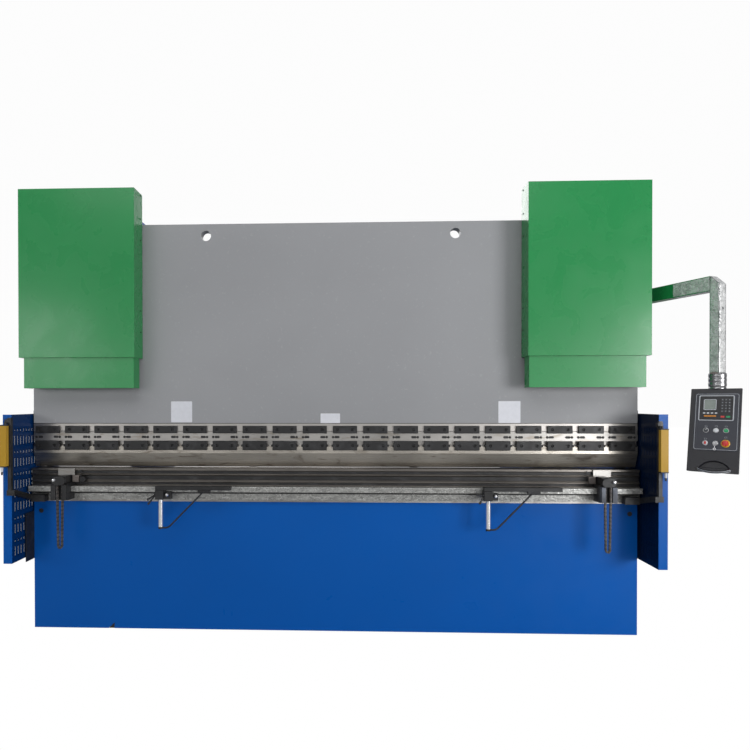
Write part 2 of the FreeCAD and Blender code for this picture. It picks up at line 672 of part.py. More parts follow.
def guard_slots():
    """(y, z low, z high) of every slot: a short one over a long one in each band."""
    first_y = GUARD_HINGE_Y - HINGE_RADIUS - SLOT_COLUMN_PITCH
    slots = []
    for column in range(SLOT_COLUMNS):
        y = first_y - column * SLOT_COLUMN_PITCH
        wave = SLOT_WEB * math.sin(math.pi * column / (SLOT_COLUMNS - 1))
        for band in range(SLOT_BANDS):
            foot = GUARD_BOTTOM + SLOT_WEB * 2.0 + band * SLOT_BAND_PITCH
            split = foot + LONG_SLOT - wave / 2.0
            slots.append((y, foot, split))
            slots.append((y, split + SLOT_WEB, split + SLOT_WEB + SHORT_SLOT + wave / 2.0))
    return slots


def side_guard():
    """Right guard: slotted sheet with a front flange and its hinge knuckles."""
    plane = GUARD_PLANE
    rear = GUARD_HINGE_Y - HINGE_RADIUS
    sheet_wire = Part.makePolygon([Vector(plane, -GUARD_FRONT, GUARD_BOTTOM),
                                   Vector(plane, rear, GUARD_BOTTOM),
                                   Vector(plane, rear, GUARD_TOP),
                                   Vector(plane, -GUARD_FRONT, GUARD_TOP),
                                   Vector(plane, -GUARD_FRONT, GUARD_BOTTOM)])
    holes = []
    half = GUARD_SLOT_WIDTH / 2.0
    for y, low, high in guard_slots():
        holes.append(Part.makePolygon([Vector(plane, y - half, low), Vector(plane, y - half, high),
                                       Vector(plane, y + half, high), Vector(plane, y + half, low),
                                       Vector(plane, y - half, low)]))
    sheet = Part.Face([sheet_wire] + holes).extrude(Vector(GUARD_SHEET, 0, 0))
    flange = block((plane, -GUARD_FRONT, GUARD_BOTTOM),
                   (plane + GUARD_FLANGE, -GUARD_FRONT + GUARD_SHEET, GUARD_TOP))
    pieces = [flange]
    for height in HINGE_HEIGHTS:
        knuckle = upright(plane, GUARD_HINGE_Y, height + HINGE_GAP, height + HINGE_HEIGHT / 2.0,
                          HINGE_RADIUS)
        leaf = block((plane, rear - HINGE_RADIUS, height + HINGE_GAP),
                     (plane + GUARD_SHEET, GUARD_HINGE_Y, height + HINGE_HEIGHT / 2.0))
        pin_way = upright(plane, GUARD_HINGE_Y, height, height + HINGE_HEIGHT,
                          HINGE_PIN_RADIUS + HINGE_GAP)
        pieces.append(knuckle.fuse(leaf).cut(pin_way))
    return sheet.fuse(pieces).removeSplitter()


def guard_post():
    """Right guard post: a standing tube, two arms to the frame, and the fixed knuckles."""
    outer = POST_INNER + POST_SIZE
    front = GUARD_HINGE_Y - POST_SIZE / 2.0
    rear = front + POST_SIZE
    pieces = []
    for height in POST_ARM_HEIGHTS:
        pieces.append(block((FRAME_OUTER, front, height), (POST_INNER, rear, height + POST_SIZE)))
    for height in HINGE_HEIGHTS:
        base = height - HINGE_HEIGHT / 2.0
        pieces.append(upright(GUARD_PLANE, GUARD_HINGE_Y, base, height, HINGE_RADIUS))
        pieces.append(upright(GUARD_PLANE, GUARD_HINGE_Y, base, height + HINGE_HEIGHT / 2.0,
                              HINGE_PIN_RADIUS))
        pieces.append(block((outer, GUARD_HINGE_Y, base),
                            (GUARD_PLANE, GUARD_HINGE_Y + HINGE_RADIUS, height)))
    post = block((POST_INNER, front, 0), (outer, rear, POST_TOP))
    return post.fuse(pieces).removeSplitter()


def left_end_plate():
    return block((-HALF_LENGTH - END_PLATE_THICK, -END_PLATE_FRONT, END_PLATE_BOTTOM),
                 (-HALF_LENGTH, END_PLATE_REAR, END_PLATE_TOP))


def curtain_arm(lift):
    """Right bracket: a clamp on the table rail, a rising arm and the curtain's post."""
    table_face = -TABLE_RAIL_DEPTH / 2.0
    clamp_block = block((CURTAIN_CLAMP_INNER, -CURTAIN_CLAMP_FRONT, CURTAIN_CLAMP_BOTTOM),
                        (CURTAIN_ARM_INNER, table_face, CURTAIN_CLAMP_TOP))
    post_front = -CURTAIN_FRONT + CURTAIN_DEPTH
    post_rear = post_front + CURTAIN_POST_SIZE
    foot_bottom = CURTAIN_ARM_FRONT_Z + lift
    foot_top = foot_bottom + CURTAIN_ARM_HEIGHT
    arm = prism_x([(table_face, CURTAIN_ARM_REAR_Z),
                   (table_face, CURTAIN_ARM_REAR_Z + CURTAIN_ARM_HEIGHT),
                   (post_rear, foot_top), (post_rear, foot_bottom)],
                  CURTAIN_ARM_INNER, CURTAIN_ARM_OUTER)
    foot = block((CURTAIN_ARM_INNER, post_front, foot_bottom),
                 (CURTAIN_FOOT_OUTER, post_rear, foot_top))
    post = block((CURTAIN_POST_INNER, post_front, foot_bottom),
                 (CURTAIN_POST_INNER + CURTAIN_POST_SIZE, post_rear, CURTAIN_POST_TOP + lift))
    return clamp_block.fuse([arm, foot, post]).removeSplitter()


def light_curtain(lift):
    front = -CURTAIN_FRONT
    bottom = CURTAIN_BOTTOM + lift
    body = block((CURTAIN_INNER, front, bottom),
                 (CURTAIN_INNER + CURTAIN_WIDTH, front + CURTAIN_DEPTH, CURTAIN_TOP + lift))
    plug = upright(CURTAIN_INNER + CURTAIN_PLUG_INSET, front + CURTAIN_DEPTH / 2.0,
                   bottom - CURTAIN_PLUG_LENGTH, bottom, CURTAIN_PLUG_RADIUS)
    return body.fuse(plug).removeSplitter()


def chain_bracket():
    """Right bracket: a back block on the rail between two cheeks, and the wheel's axle."""
    back = -FRONT_RAIL_FRONT
    front = back - CHAIN_BODY_DEPTH
    inner = CHAIN_X - CHAIN_BODY_INNER
    outer = CHAIN_X + CHAIN_BODY_OUTER
    body = block((inner, front, CHAIN_BODY_BOTTOM), (outer, back, CHAIN_BODY_TOP))
    tongue = block((inner, back, FRONT_RAIL_TOP),
                   (outer, -DIE_SIZE / 2.0, CHAIN_BODY_TOP))
    lug_half = CHAIN_WHEEL_RADIUS + CHAIN_CHEEK_THICK
    lug = block((CHAIN_X - lug_half, front, CHAIN_BODY_TOP),
                (CHAIN_X + lug_half, back, CHAIN_WHEEL_Z + lug_half))
    axle = along_y(CHAIN_X, CHAIN_WHEEL_Z, front - CHAIN_CHEEK_DEPTH, front, CHAIN_AXLE_RADIUS)
    cheek = block((outer - CHAIN_CHEEK_THICK, front - CHAIN_CHEEK_DEPTH, CHAIN_BODY_BOTTOM),
                  (outer, front, CHAIN_BODY_TOP))
    inner_cheek = block((inner, front - CHAIN_CHEEK_DEPTH, CHAIN_BODY_BOTTOM),
                        (inner + CHAIN_CHEEK_THICK / 2.0, front, CHAIN_BODY_TOP))
    return body.fuse([tongue, lug, axle, cheek, inner_cheek]).removeSplitter()


def chain_plane():
    """The middle plane of the wheel and the chain."""
    return -FRONT_RAIL_FRONT - CHAIN_BODY_DEPTH - CHAIN_CHEEK_DEPTH / 2.0


def chain_wheel():
    middle = chain_plane()
    radius = CHAIN_WHEEL_RADIUS - CHAIN_THICK / 2.0 - CHAIN_CLEARANCE
    wheel = along_y(CHAIN_X, CHAIN_WHEEL_Z, middle - CHAIN_WIDTH / 2.0, middle + CHAIN_WIDTH / 2.0,
                    radius)
    hole = along_y(CHAIN_X, CHAIN_WHEEL_Z, middle - CHAIN_WIDTH, middle + CHAIN_WIDTH,
                   CHAIN_AXLE_RADIUS + CHAIN_CLEARANCE)
    return wheel.cut(hole)


def loop_face(top_radius, tail_radius, y):
    """Outline of a chain that hangs from its wheel and narrows to its tail."""
    drop = CHAIN_DROP
    lift = (top_radius - tail_radius) / drop
    reach = math.cos(math.asin(lift))
    top = Vector(CHAIN_X, y, CHAIN_WHEEL_Z)
    tail = Vector(CHAIN_X, y, CHAIN_WHEEL_Z - drop)
    right = Vector(reach, 0, lift)
    left = Vector(-reach, 0, lift)
    crown = top + Vector(0, 0, top_radius)
    base = tail - Vector(0, 0, tail_radius)
    edges = [Part.Arc(top + left * top_radius, crown, top + right * top_radius).toShape(),
             Part.makeLine(top + right * top_radius, tail + right * tail_radius),
             Part.Arc(tail + right * tail_radius, base, tail + left * tail_radius).toShape(),
             Part.makeLine(tail + left * tail_radius, top + left * top_radius)]
    return Part.Face(Part.Wire(edges))


def chain():
    y = chain_plane() - CHAIN_WIDTH / 2.0
    half = CHAIN_THICK / 2.0
    outside = loop_face(CHAIN_WHEEL_RADIUS + half, CHAIN_TAIL_RADIUS + half, y)
    inside = loop_face(CHAIN_WHEEL_RADIUS - half, CHAIN_TAIL_RADIUS - half, y)
    return outside.cut(inside).extrude(Vector(0, CHAIN_WIDTH, 0))


def support_carriage(column_x):
    """Head block with the column's bore, a side lug, and a key in the front rail."""
    rail_face = -FRONT_RAIL_FRONT
    left = column_x - SUPPORT_HEAD_LEFT
    right = column_x + SUPPORT_HEAD_RIGHT
    head = block((left, SUPPORT_COLUMN_Y - SUPPORT_HEAD_FRONT, SUPPORT_HEAD_BOTTOM),
                 (right, rail_face - SUPPORT_CLEARANCE, SUPPORT_HEAD_TOP))
    lug = block((right, -SUPPORT_LUG_FRONT, SUPPORT_HEAD_BOTTOM),
                (column_x + SUPPORT_LUG_REACH, rail_face - SUPPORT_CLEARANCE, SUPPORT_LUG_TOP))
    middle = (FRONT_RAIL_BOTTOM + FRONT_RAIL_TOP) / 2.0
    half = FRONT_RAIL_GROOVE / 2.0 - SUPPORT_CLEARANCE
    key = block((left, rail_face - CUT_PAST, middle - half),
                (right, rail_face + FRONT_RAIL_GROOVE - SUPPORT_CLEARANCE, middle + half))
    bore = upright(column_x, SUPPORT_COLUMN_Y, SUPPORT_HEAD_BOTTOM - CUT_PAST,
                   SUPPORT_HEAD_TOP + CUT_PAST,
                   SUPPORT_COLUMN_RADIUS + SUPPORT_CLEARANCE)
    return head.fuse([lug, key]).removeSplitter().cut(bore)


def support_arm(column_x):
    """Column, level bar and the bent rod that props the bar, folded along the bed."""
    bar_bottom = SUPPORT_HEAD_TOP + SUPPORT_CLEARANCE
    bar_top = bar_bottom + SUPPORT_BAR_HEIGHT
    half = SUPPORT_BAR_WIDTH / 2.0
    bar = block((column_x - SUPPORT_BAR_BACK, SUPPORT_COLUMN_Y - half, bar_bottom),
                (column_x + SUPPORT_BAR_LENGTH, SUPPORT_COLUMN_Y + half, bar_top))
    column = upright(column_x, SUPPORT_COLUMN_Y, SUPPORT_COLUMN_BOTTOM, bar_bottom,
                     SUPPORT_COLUMN_RADIUS)
    radius = SUPPORT_STRUT_RADIUS
    foot_x = column_x + SUPPORT_STRUT_FOOT
    foot_z = SUPPORT_COLUMN_BOTTOM + radius
    level = along_x(SUPPORT_COLUMN_Y, foot_z, column_x, foot_x, radius)
    bend = Part.makeSphere(radius, Vector(foot_x, SUPPORT_COLUMN_Y, foot_z))
    block_bottom = bar_bottom - SUPPORT_BLOCK_HEIGHT
    rise = bar_bottom - SUPPORT_BLOCK_HEIGHT / 2.0 - foot_z
    run = SUPPORT_STRUT_REACH - SUPPORT_STRUT_FOOT
    slant = Part.makeCylinder(radius, math.hypot(run, rise),
                              Vector(foot_x, SUPPORT_COLUMN_Y, foot_z), Vector(run, 0, rise))
    block_half = SUPPORT_BLOCK_DEPTH / 2.0
    bracket = block((column_x + SUPPORT_BLOCK_START, SUPPORT_COLUMN_Y - block_half, block_bottom),
                    (column_x + SUPPORT_BLOCK_END, SUPPORT_COLUMN_Y + block_half, bar_bottom))
    return bar.fuse([column, level, bend, slant, bracket]).removeSplitter()


def elbow():
    angle = math.radians(ARM_ANGLE)
    return Vector(ARM_PIVOT_X + ARM_LENGTH * math.cos(angle),
                  ARM_PIVOT_Y + ARM_LENGTH * math.sin(angle), 0)


def turned_to_arm(shape):
    """Place a shape drawn along +X from the pivot."""
    shape = shape.copy()
    shape.rotate(Vector(0, 0, 0), Vector(0, 0, 1), ARM_ANGLE)
    shape.translate(Vector(ARM_PIVOT_X, ARM_PIVOT_Y, 0))
    return shape


def turned_to_box(shape):
    """Place a shape drawn with the pendant's front towards -Y and its axis at the origin."""
    shape = shape.copy()
    shape.rotate(Vector(0, 0, 0), Vector(0, 0, 1), BOX_ANGLE)
    shape.translate(elbow())
    return shape


def pendant_bracket():
    """Cantilever plate from the right frame to the pin that the arm swings on."""
    top = ARM_BOTTOM - HINGE_GAP - NECK_HEIGHT
    bottom = top - BRACKET_THICK
    outline = [(FRAME_OUTER, BRACKET_FRONT), (FRAME_OUTER, BRACKET_FRONT + BRACKET_WIDTH),
               (ARM_PIVOT_X, ARM_PIVOT_Y + ARM_BOSS_RADIUS),
               (ARM_PIVOT_X, ARM_PIVOT_Y - ARM_BOSS_RADIUS)]
    plate = prism_z(outline, bottom, top)
    boss = upright(ARM_PIVOT_X, ARM_PIVOT_Y, bottom, ARM_BOTTOM - HINGE_GAP, ARM_BOSS_RADIUS)
    pin = upright(ARM_PIVOT_X, ARM_PIVOT_Y, top, ARM_BOTTOM + ARM_HEIGHT, ARM_PIN_RADIUS)
    return plate.fuse([boss, pin]).removeSplitter()


def pendant_arm():
    top = ARM_BOTTOM + ARM_HEIGHT
    half = ARM_WIDTH / 2.0
    bar = block((0, -half, ARM_BOTTOM), (ARM_LENGTH - TUBE_SIZE / 2.0, half, top))
    boss = upright(0, 0, ARM_BOTTOM, top, ARM_BOSS_RADIUS)
    pin_way = upright(0, 0, ARM_BOTTOM - CUT_PAST, top + CUT_PAST, ARM_PIN_RADIUS + ARM_PIN_CLEARANCE)
    return turned_to_arm(bar.fuse(boss).removeSplitter().cut(pin_way))


def pendant_tube():
    """Square tube down from the arm's end, its outer top edge cut at 45 degrees."""
    half = TUBE_SIZE / 2.0
    inner = ARM_LENGTH - half
    outer = ARM_LENGTH + half
    top = ARM_BOTTOM + ARM_HEIGHT
    outline = [(inner, TUBE_BOTTOM), (outer, TUBE_BOTTOM), (outer, top - TUBE_BEVEL),
               (outer - TUBE_BEVEL, top), (inner, top)]
    return turned_to_arm(prism_y(outline, -half, half))


def pendant_collar():
    """Swivel collar of three double-tapered rings with a bore for the box's spigot."""
    ring_height = COLLAR_HEIGHT / COLLAR_RINGS
    bottom = TUBE_BOTTOM - COLLAR_HEIGHT
    profile = [Vector(0, 0, bottom)]
    for ring in range(COLLAR_RINGS):
        low = bottom + ring * ring_height
        profile.append(Vector(COLLAR_RADIUS, 0, low))
        profile.append(Vector(COLLAR_RADIUS + COLLAR_RING_DEPTH, 0, low + ring_height / 2.0))
    profile += [Vector(COLLAR_RADIUS, 0, TUBE_BOTTOM), Vector(0, 0, TUBE_BOTTOM), profile[0]]
    body = Part.Face(Part.makePolygon(profile)).revolve(Vector(0, 0, 0), Vector(0, 0, 1), 360)
    bore = upright(0, 0, bottom - CUT_PAST, bottom + SPIGOT_LENGTH + HINGE_GAP,
                   SPIGOT_RADIUS + SPIGOT_CLEARANCE)
    return turned_to_box(body.cut(bore))


def pendant_box():
    """Wedge-shaped console with a finger pocket in its front, its neck and its spigot."""
    foot = BOX_TOP - BOX_HEIGHT
    outline = [(BOX_BACK, BOX_TOP), (-BOX_TOP_FRONT, BOX_TOP),
               (-BOX_FOOT_FRONT, foot + BOX_FOOT_DEPTH),
               (-BOX_FOOT_FRONT + BOX_FOOT_DEPTH, foot), (BOX_BACK, foot)]
    body = prism_x(outline, -BOX_WIDTH / 2.0, BOX_WIDTH / 2.0)
    neck = upright(0, 0, BOX_TOP, BOX_TOP + NECK_HEIGHT, NECK_RADIUS)
    spigot = upright(0, 0, BOX_TOP, BOX_TOP + NECK_HEIGHT + SPIGOT_LENGTH, SPIGOT_RADIUS)
    return turned_to_box(body.fuse([neck, spigot]).removeSplitter()).cut(finger_pocket())


def front_slope():
    """Angle of the console's front from the upright."""
    return math.degrees(math.atan2(BOX_FOOT_FRONT - BOX_TOP_FRONT, BOX_HEIGHT - BOX_FOOT_DEPTH))


def handle_chord():
    """Height of the handle's top face on the sloping front, below its top edge."""
    slant = math.hypot(BOX_FOOT_FRONT - BOX_TOP_FRONT, BOX_HEIGHT - BOX_FOOT_DEPTH)
    return HANDLE_RISE - slant


def finger_pocket():
    """The shallow arch that is sunk into the front above the handle."""
    half = POCKET_WIDTH / 2.0
    z = handle_chord()
    left = Vector(-half, -CUT_PAST, z)
    right = Vector(half, -CUT_PAST, z)
    crown = Vector(0, -CUT_PAST, z + POCKET_HEIGHT)
    edges = [Part.Arc(left, crown, right).toShape(), Part.makeLine(right, left)]
    return on_front(Part.Face(Part.Wire(edges)).extrude(Vector(0, POCKET_DEPTH + CUT_PAST, 0)))


def on_front(shape):
    """Place a shape drawn on the plane Y = 0, below the middle of the front's top edge."""
    shape = shape.copy()
    shape.rotate(Vector(0, 0, 0), Vector(1, 0, 0), -front_slope())
    shape.translate(Vector(0, -BOX_TOP_FRONT, BOX_TOP))
    return turned_to_box(shape)


def control_panel():
    half = PANEL_WIDTH / 2.0
    plate = block((-half, -PANEL_THICK, -PANEL_DROP - PANEL_HEIGHT), (half, 0, -PANEL_DROP))
    corners = [edge for edge in plate.Edges
               if abs(edge.tangentAt(edge.FirstParameter).y) > 0.5]
    return on_front(plate.makeFillet(PANEL_CORNER, corners))


def panel_buttons():
    """Two rows of three controls; the last is the mushroom stop on its ring."""
    buttons = []
    for row, drop in enumerate(BUTTON_ROWS):
        for column, x in enumerate(BUTTON_COLUMNS):
            last = row == len(BUTTON_ROWS) - 1 and column == len(BUTTON_COLUMNS) - 1
            radius = STOP_RING_RADIUS if last else BUTTON_RADIUS
            button = along_y(x, -drop, -PANEL_THICK - BUTTON_HEIGHT, -PANEL_THICK, radius)
            if last:
                cap = along_y(x, -drop, -PANEL_THICK - STOP_HEIGHT, -PANEL_THICK, STOP_CAP_RADIUS)
                button = button.fuse(cap).removeSplitter()
            buttons.append(on_front(button))
    return buttons


def pendant_handle():
    """Bowed bar below the panel, dipping to the front, with room for fingers behind it."""
    half = HANDLE_WIDTH / 2.0
    z = handle_chord()
    outer = Part.Wire([Part.Arc(Vector(-half, 0, z), Vector(0, -HANDLE_REACH, z),
                                Vector(half, 0, z)).toShape(),
                       Part.makeLine(Vector(half, 0, z), Vector(-half, 0, z))])
    inner_half = half - HANDLE_THICK
    inner_reach = HANDLE_REACH - HANDLE_THICK
    inner = Part.Wire([Part.Arc(Vector(-inner_half, 0, z), Vector(0, -inner_reach, z),
                                Vector(inner_half, 0, z)).toShape(),
                       Part.makeLine(Vector(inner_half, 0, z), Vector(-inner_half, 0, z))])
    bow = Part.Face(outer).cut(Part.Face(inner)).extrude(Vector(0, 0, -HANDLE_HEIGHT))
    bow.rotate(Vector(0, 0, z), Vector(1, 0, 0), HANDLE_TILT)
    behind = block((-half - CUT_PAST, 0, z - HANDLE_REACH), (half + CUT_PAST, HANDLE_REACH, z + HANDLE_REACH))
    return on_front(bow.cut(behind))


def oil_tank():
    rear = TANK_FRONT + TANK_DEPTH
    top = TANK_BOTTOM + TANK_HEIGHT
    tank = block((-FRAME_INNER, TANK_FRONT, TANK_BOTTOM), (FRAME_INNER, rear, top))
    lid_end = FRAME_INNER - TANK_LID_LIP
    lid = block((-lid_end, TANK_FRONT + TANK_LID_LIP, top),
                (lid_end, rear - TANK_LID_LIP, top + TANK_LID_THICK))
    return tank.fuse(lid).removeSplitter()


def tank_deck():
    return TANK_BOTTOM + TANK_HEIGHT + TANK_LID_THICK


def tank_middle():
    return TANK_FRONT + TANK_DEPTH / 2.0


def valve_middle():
    return TANK_FRONT + VALVE_INSET


def pump_motor():
    """Standing motor with cooling fins on its flange, and the valve block beside it."""
    deck = tank_deck()
    fan_cap = deck + MOTOR_LENGTH - MOTOR_CAP_HEIGHT
    flange = upright(MOTOR_X, tank_middle(), deck, deck + TANK_LID_THICK,
                     MOTOR_RADIUS + TANK_LID_LIP)
    cap = upright(MOTOR_X, tank_middle(), fan_cap, deck + MOTOR_LENGTH, MOTOR_RADIUS)
    finned = prism_z(motor_outline(), deck, fan_cap)
    half = VALVE_BLOCK_SIZE / 2.0
    valve = block((-half, valve_middle() - half, deck),
                  (half, valve_middle() + half, deck + VALVE_BLOCK_SIZE))
    return [finned.fuse([flange, cap]).removeSplitter(), valve]


def motor_outline():
    """(x, y) outline of the motor's body, with a fin and a gap in each share of the turn."""
    outline = []
    pitch = 2.0 * math.pi / MOTOR_FIN_COUNT
    fin = pitch * MOTOR_FIN_SHARE
    for index in range(MOTOR_FIN_COUNT):
        start = index * pitch
        corners = [(MOTOR_RADIUS - MOTOR_FIN_DEPTH, start), (MOTOR_RADIUS, start),
                   (MOTOR_RADIUS, start + fin), (MOTOR_RADIUS - MOTOR_FIN_DEPTH, start + fin)]
        outline += [(MOTOR_X + radius * math.cos(angle), tank_middle() + radius * math.sin(angle))
                    for radius, angle in corners]
    return outline


def hydraulic_pipe():
    """Right pressure pipe: from the valve block to an elbow fitting, then to the cylinder."""
    z = tank_deck() + VALVE_BLOCK_SIZE / 2.0
    y = valve_middle() - PIPE_INSET
    x = FRAME_CENTRE - FRAME_THICK / 2.0 - PIPE_SPREAD
    offset = FRAME_CENTRE - x
    cylinder_face = math.sqrt(CYLINDER_RADIUS ** 2 - (offset - PIPE_RADIUS) ** 2)
    half = PIPE_FITTING_HALF
    run = along_x(y, z, VALVE_BLOCK_SIZE / 2.0, x - half, PIPE_RADIUS)
    fitting = block((x - half, y - half, z - half), (x + half, y + half, z + half))
    leg = along_y(x, z, cylinder_face + PIPE_END_GAP, y - half, PIPE_RADIUS)
    return run.fuse([fitting, leg]).removeSplitter()


def back_gauge_rails():
    rails = []
    top = BED_HEIGHT - GAUGE_RAIL_DROP
    for side in (-1, 1):
        low = (side * GAUGE_RAIL_X - GAUGE_RAIL_WIDTH / 2.0, HALF_PLATE, top - GAUGE_RAIL_HEIGHT)
        high = (side * GAUGE_RAIL_X + GAUGE_RAIL_WIDTH / 2.0, HALF_PLATE + GAUGE_RAIL_LENGTH, top)
        rails.append(block(low, high))
    return rails


def back_gauge_beam():
    """Cross beam with two stop fingers that reach towards the die."""
    bottom = BED_HEIGHT - GAUGE_RAIL_DROP
    top = bottom + GAUGE_BEAM_HEIGHT
    half = GAUGE_BEAM_LENGTH / 2.0
    beam = block((-half, GAUGE_BEAM_Y, bottom), (half, GAUGE_BEAM_Y + GAUGE_BEAM_DEPTH, top))
    fingers = []
    finger_half = GAUGE_FINGER_WIDTH / 2.0
    for side in (-1, 1):
        x = side * GAUGE_FINGER_X
        riser = block((x - finger_half, GAUGE_BEAM_Y, top),
                      (x + finger_half, GAUGE_BEAM_Y + GAUGE_BEAM_DEPTH,
                       DIE_TOP + GAUGE_FINGER_HEIGHT))
        finger = block((x - finger_half, GAUGE_BEAM_Y - GAUGE_FINGER_LENGTH, DIE_TOP),
                       (x + finger_half, GAUGE_BEAM_Y, DIE_TOP + GAUGE_FINGER_HEIGHT))
        fingers += [riser, finger]
    return beam.fuse(fingers).removeSplitter()


def electrical_cabinet():
    outer = FRAME_OUTER + CABINET_WIDTH
    rear = CABINET_FRONT + CABINET_DEPTH
    top = CABINET_BOTTOM + CABINET_HEIGHT
    margin = CABINET_DOOR_MARGIN
    body = block((FRAME_OUTER, CABINET_FRONT, CABINET_BOTTOM), (outer, rear, top))
    door = block((outer, CABINET_FRONT + margin, CABINET_BOTTOM + margin),
                 (outer + CABINET_DOOR_THICK, rear - margin, top - margin))
    return body.fuse(door).removeSplitter()


save("bed_plate", bed_plate())
save("table_rail", table_rail())
save("front_guide_rail", front_guide_rail())
save("lower_die", lower_die())
save("die_stops", die_stop(), mirrored(die_stop()))
save("ram_plate", ram_plate())
save("clamp_rail", clamp_rail())
save("upper_clamp_plates", *upper_clamp_plates())
save("lower_clamp_plates", *lower_clamp_plates())
save("punch", punch())
save("piston_rods", piston_rod(), mirrored(piston_rod()))
save_pair("side_frame", side_frame())
save("base_plates", *base_plates())
save("rear_beam", rear_beam())
save_pair("cylinder", cylinder())
save("ram_guides", ram_guide(), mirrored(ram_guide()))
save_pair("cover", cover())
save_pair("cover_skirt", cover_skirt())
save_pair("guard", side_guard())
save("guard_posts", guard_post(), mirrored(guard_post()))
save("left_end_plate", left_end_plate())
save("right_curtain_arm", curtain_arm(0))
save("left_curtain_arm", mirrored(curtain_arm(LEFT_CURTAIN_LIFT)))
save("right_light_curtain", light_curtain(0))
save("left_light_curtain", mirrored(light_curtain(LEFT_CURTAIN_LIFT)))
save_pair("chain_bracket", chain_bracket())
save("chain_wheels", chain_wheel(), mirrored(chain_wheel()))
save_pair("chain", chain())
save("left_support_carriage", support_carriage(LEFT_SUPPORT_X))
save("right_support_carriage", support_carriage(RIGHT_SUPPORT_X))
save("left_support_arm", support_arm(LEFT_SUPPORT_X))
save("right_support_arm", support_arm(RIGHT_SUPPORT_X))
save("pendant_bracket", pendant_bracket())
save("pendant_arm", pendant_arm())
save("pendant_tube", pendant_tube())
save("pendant_collar", pendant_collar())
save("pendant_box", pendant_box())
save("control_panel", control_panel())
save("panel_buttons", *panel_buttons())
save("pendant_handle", pendant_handle())
save("oil_tank", oil_tank())
save("pump_motor", *pump_motor())
save("hydraulic_pipes", hydraulic_pipe(), mirrored(hydraulic_pipe()))
save("back_gauge_rails", *back_gauge_rails())
save("back_gauge_beam", back_gauge_beam())
save("electrical_cabinet", electrical_cabinet())
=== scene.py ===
import json
import math

import bmesh
import bpy
from mathutils import Matrix, Vector, noise


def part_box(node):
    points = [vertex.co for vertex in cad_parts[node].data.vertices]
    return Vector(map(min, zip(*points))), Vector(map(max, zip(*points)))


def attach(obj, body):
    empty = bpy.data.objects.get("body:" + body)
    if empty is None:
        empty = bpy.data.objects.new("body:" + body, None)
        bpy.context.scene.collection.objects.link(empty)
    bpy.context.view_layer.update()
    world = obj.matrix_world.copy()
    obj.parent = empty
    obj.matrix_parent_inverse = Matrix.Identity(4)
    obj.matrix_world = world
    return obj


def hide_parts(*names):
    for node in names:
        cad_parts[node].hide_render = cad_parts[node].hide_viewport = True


# Finishes and small details of a hydraulic press brake, in metres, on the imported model.
# X runs along the bed, the operator stands at -Y, and Z is up.

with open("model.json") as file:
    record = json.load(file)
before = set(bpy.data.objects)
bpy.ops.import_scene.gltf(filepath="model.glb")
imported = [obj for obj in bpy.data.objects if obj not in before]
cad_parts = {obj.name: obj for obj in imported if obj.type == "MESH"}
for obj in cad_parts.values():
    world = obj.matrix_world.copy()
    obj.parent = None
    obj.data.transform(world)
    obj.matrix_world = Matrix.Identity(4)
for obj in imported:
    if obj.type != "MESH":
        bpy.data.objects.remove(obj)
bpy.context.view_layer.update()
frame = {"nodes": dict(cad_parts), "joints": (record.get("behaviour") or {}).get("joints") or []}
scene = bpy.context.scene

# The photograph's camera: place, turn, focal length and principal point in its 750 pixels
EYE = Vector((0.14486, -3.73585, 1.52090))
YAW = 2.0504
PITCH = -0.3927
ROLL = 0.0642
PICTURE_PIXELS = 750.0
FOCAL_PIXELS = 560.0
PRINCIPAL_X = 331.7
PRINCIPAL_Y = 405.8
SENSOR = 36.0

# Studio: reach of the floor, and how much of the pale background polished metal mirrors
FLOOR_REACH = 30.0
GLOSS_SHARE = 0.20

# Tooling stations, curtains, labels, cover screws, bed holes, rail film and die grooves
STATION_COUNT = 20
PLATE_WIDTH = 0.160
PLATE_THICK = 0.014
PLATE_BEVEL = 0.003
BOLT_SPACING = 0.100
BOLT_RADIUS = 0.0065
COUNTERBORE_RADIUS = 0.0095
COUNTERBORE_DEPTH = 0.008
SLOT_BOLT_OFFSET = 0.079
OBLONG_SLOT_OFFSET = 0.053
PAINT_EDGE = 1.378
CURTAIN_WIDTH = 0.045
CURTAIN_HEIGHT = 0.266
LABEL_SPOTS = ((-1.063, -0.921, 1.386, 1.526), (-0.062, 0.067, 1.379, 1.445),
               (1.105, 1.248, 1.382, 1.525))
END_STRIP_Z = (1.395, 1.465)
COVER_SCREW_Y = -0.070
COVER_SCREWS_Z = (2.885, 2.734, 2.590, 2.125, 1.983)
SCREW_LIFT = 0.0002
BED_HOLE_INSET = 0.048
BED_HOLE_RADIUS = 0.016
BED_HOLE_Z = 0.790
TABLE_FILM_BOTTOM = 0.873
TABLE_FILM_TOP = 0.914
DIE_GROOVES = [(0.094, 0.027), (0.057, 0.044), (0.020, 0.024)]
GROOVE_ROOT = 0.55
DIE_BOLT_X = 1.662
DIE_BOLTS = ((1.063, 0.0075, 0.010), (1.030, 0.0045, 0.007), (0.986, 0.0060, 0.008))

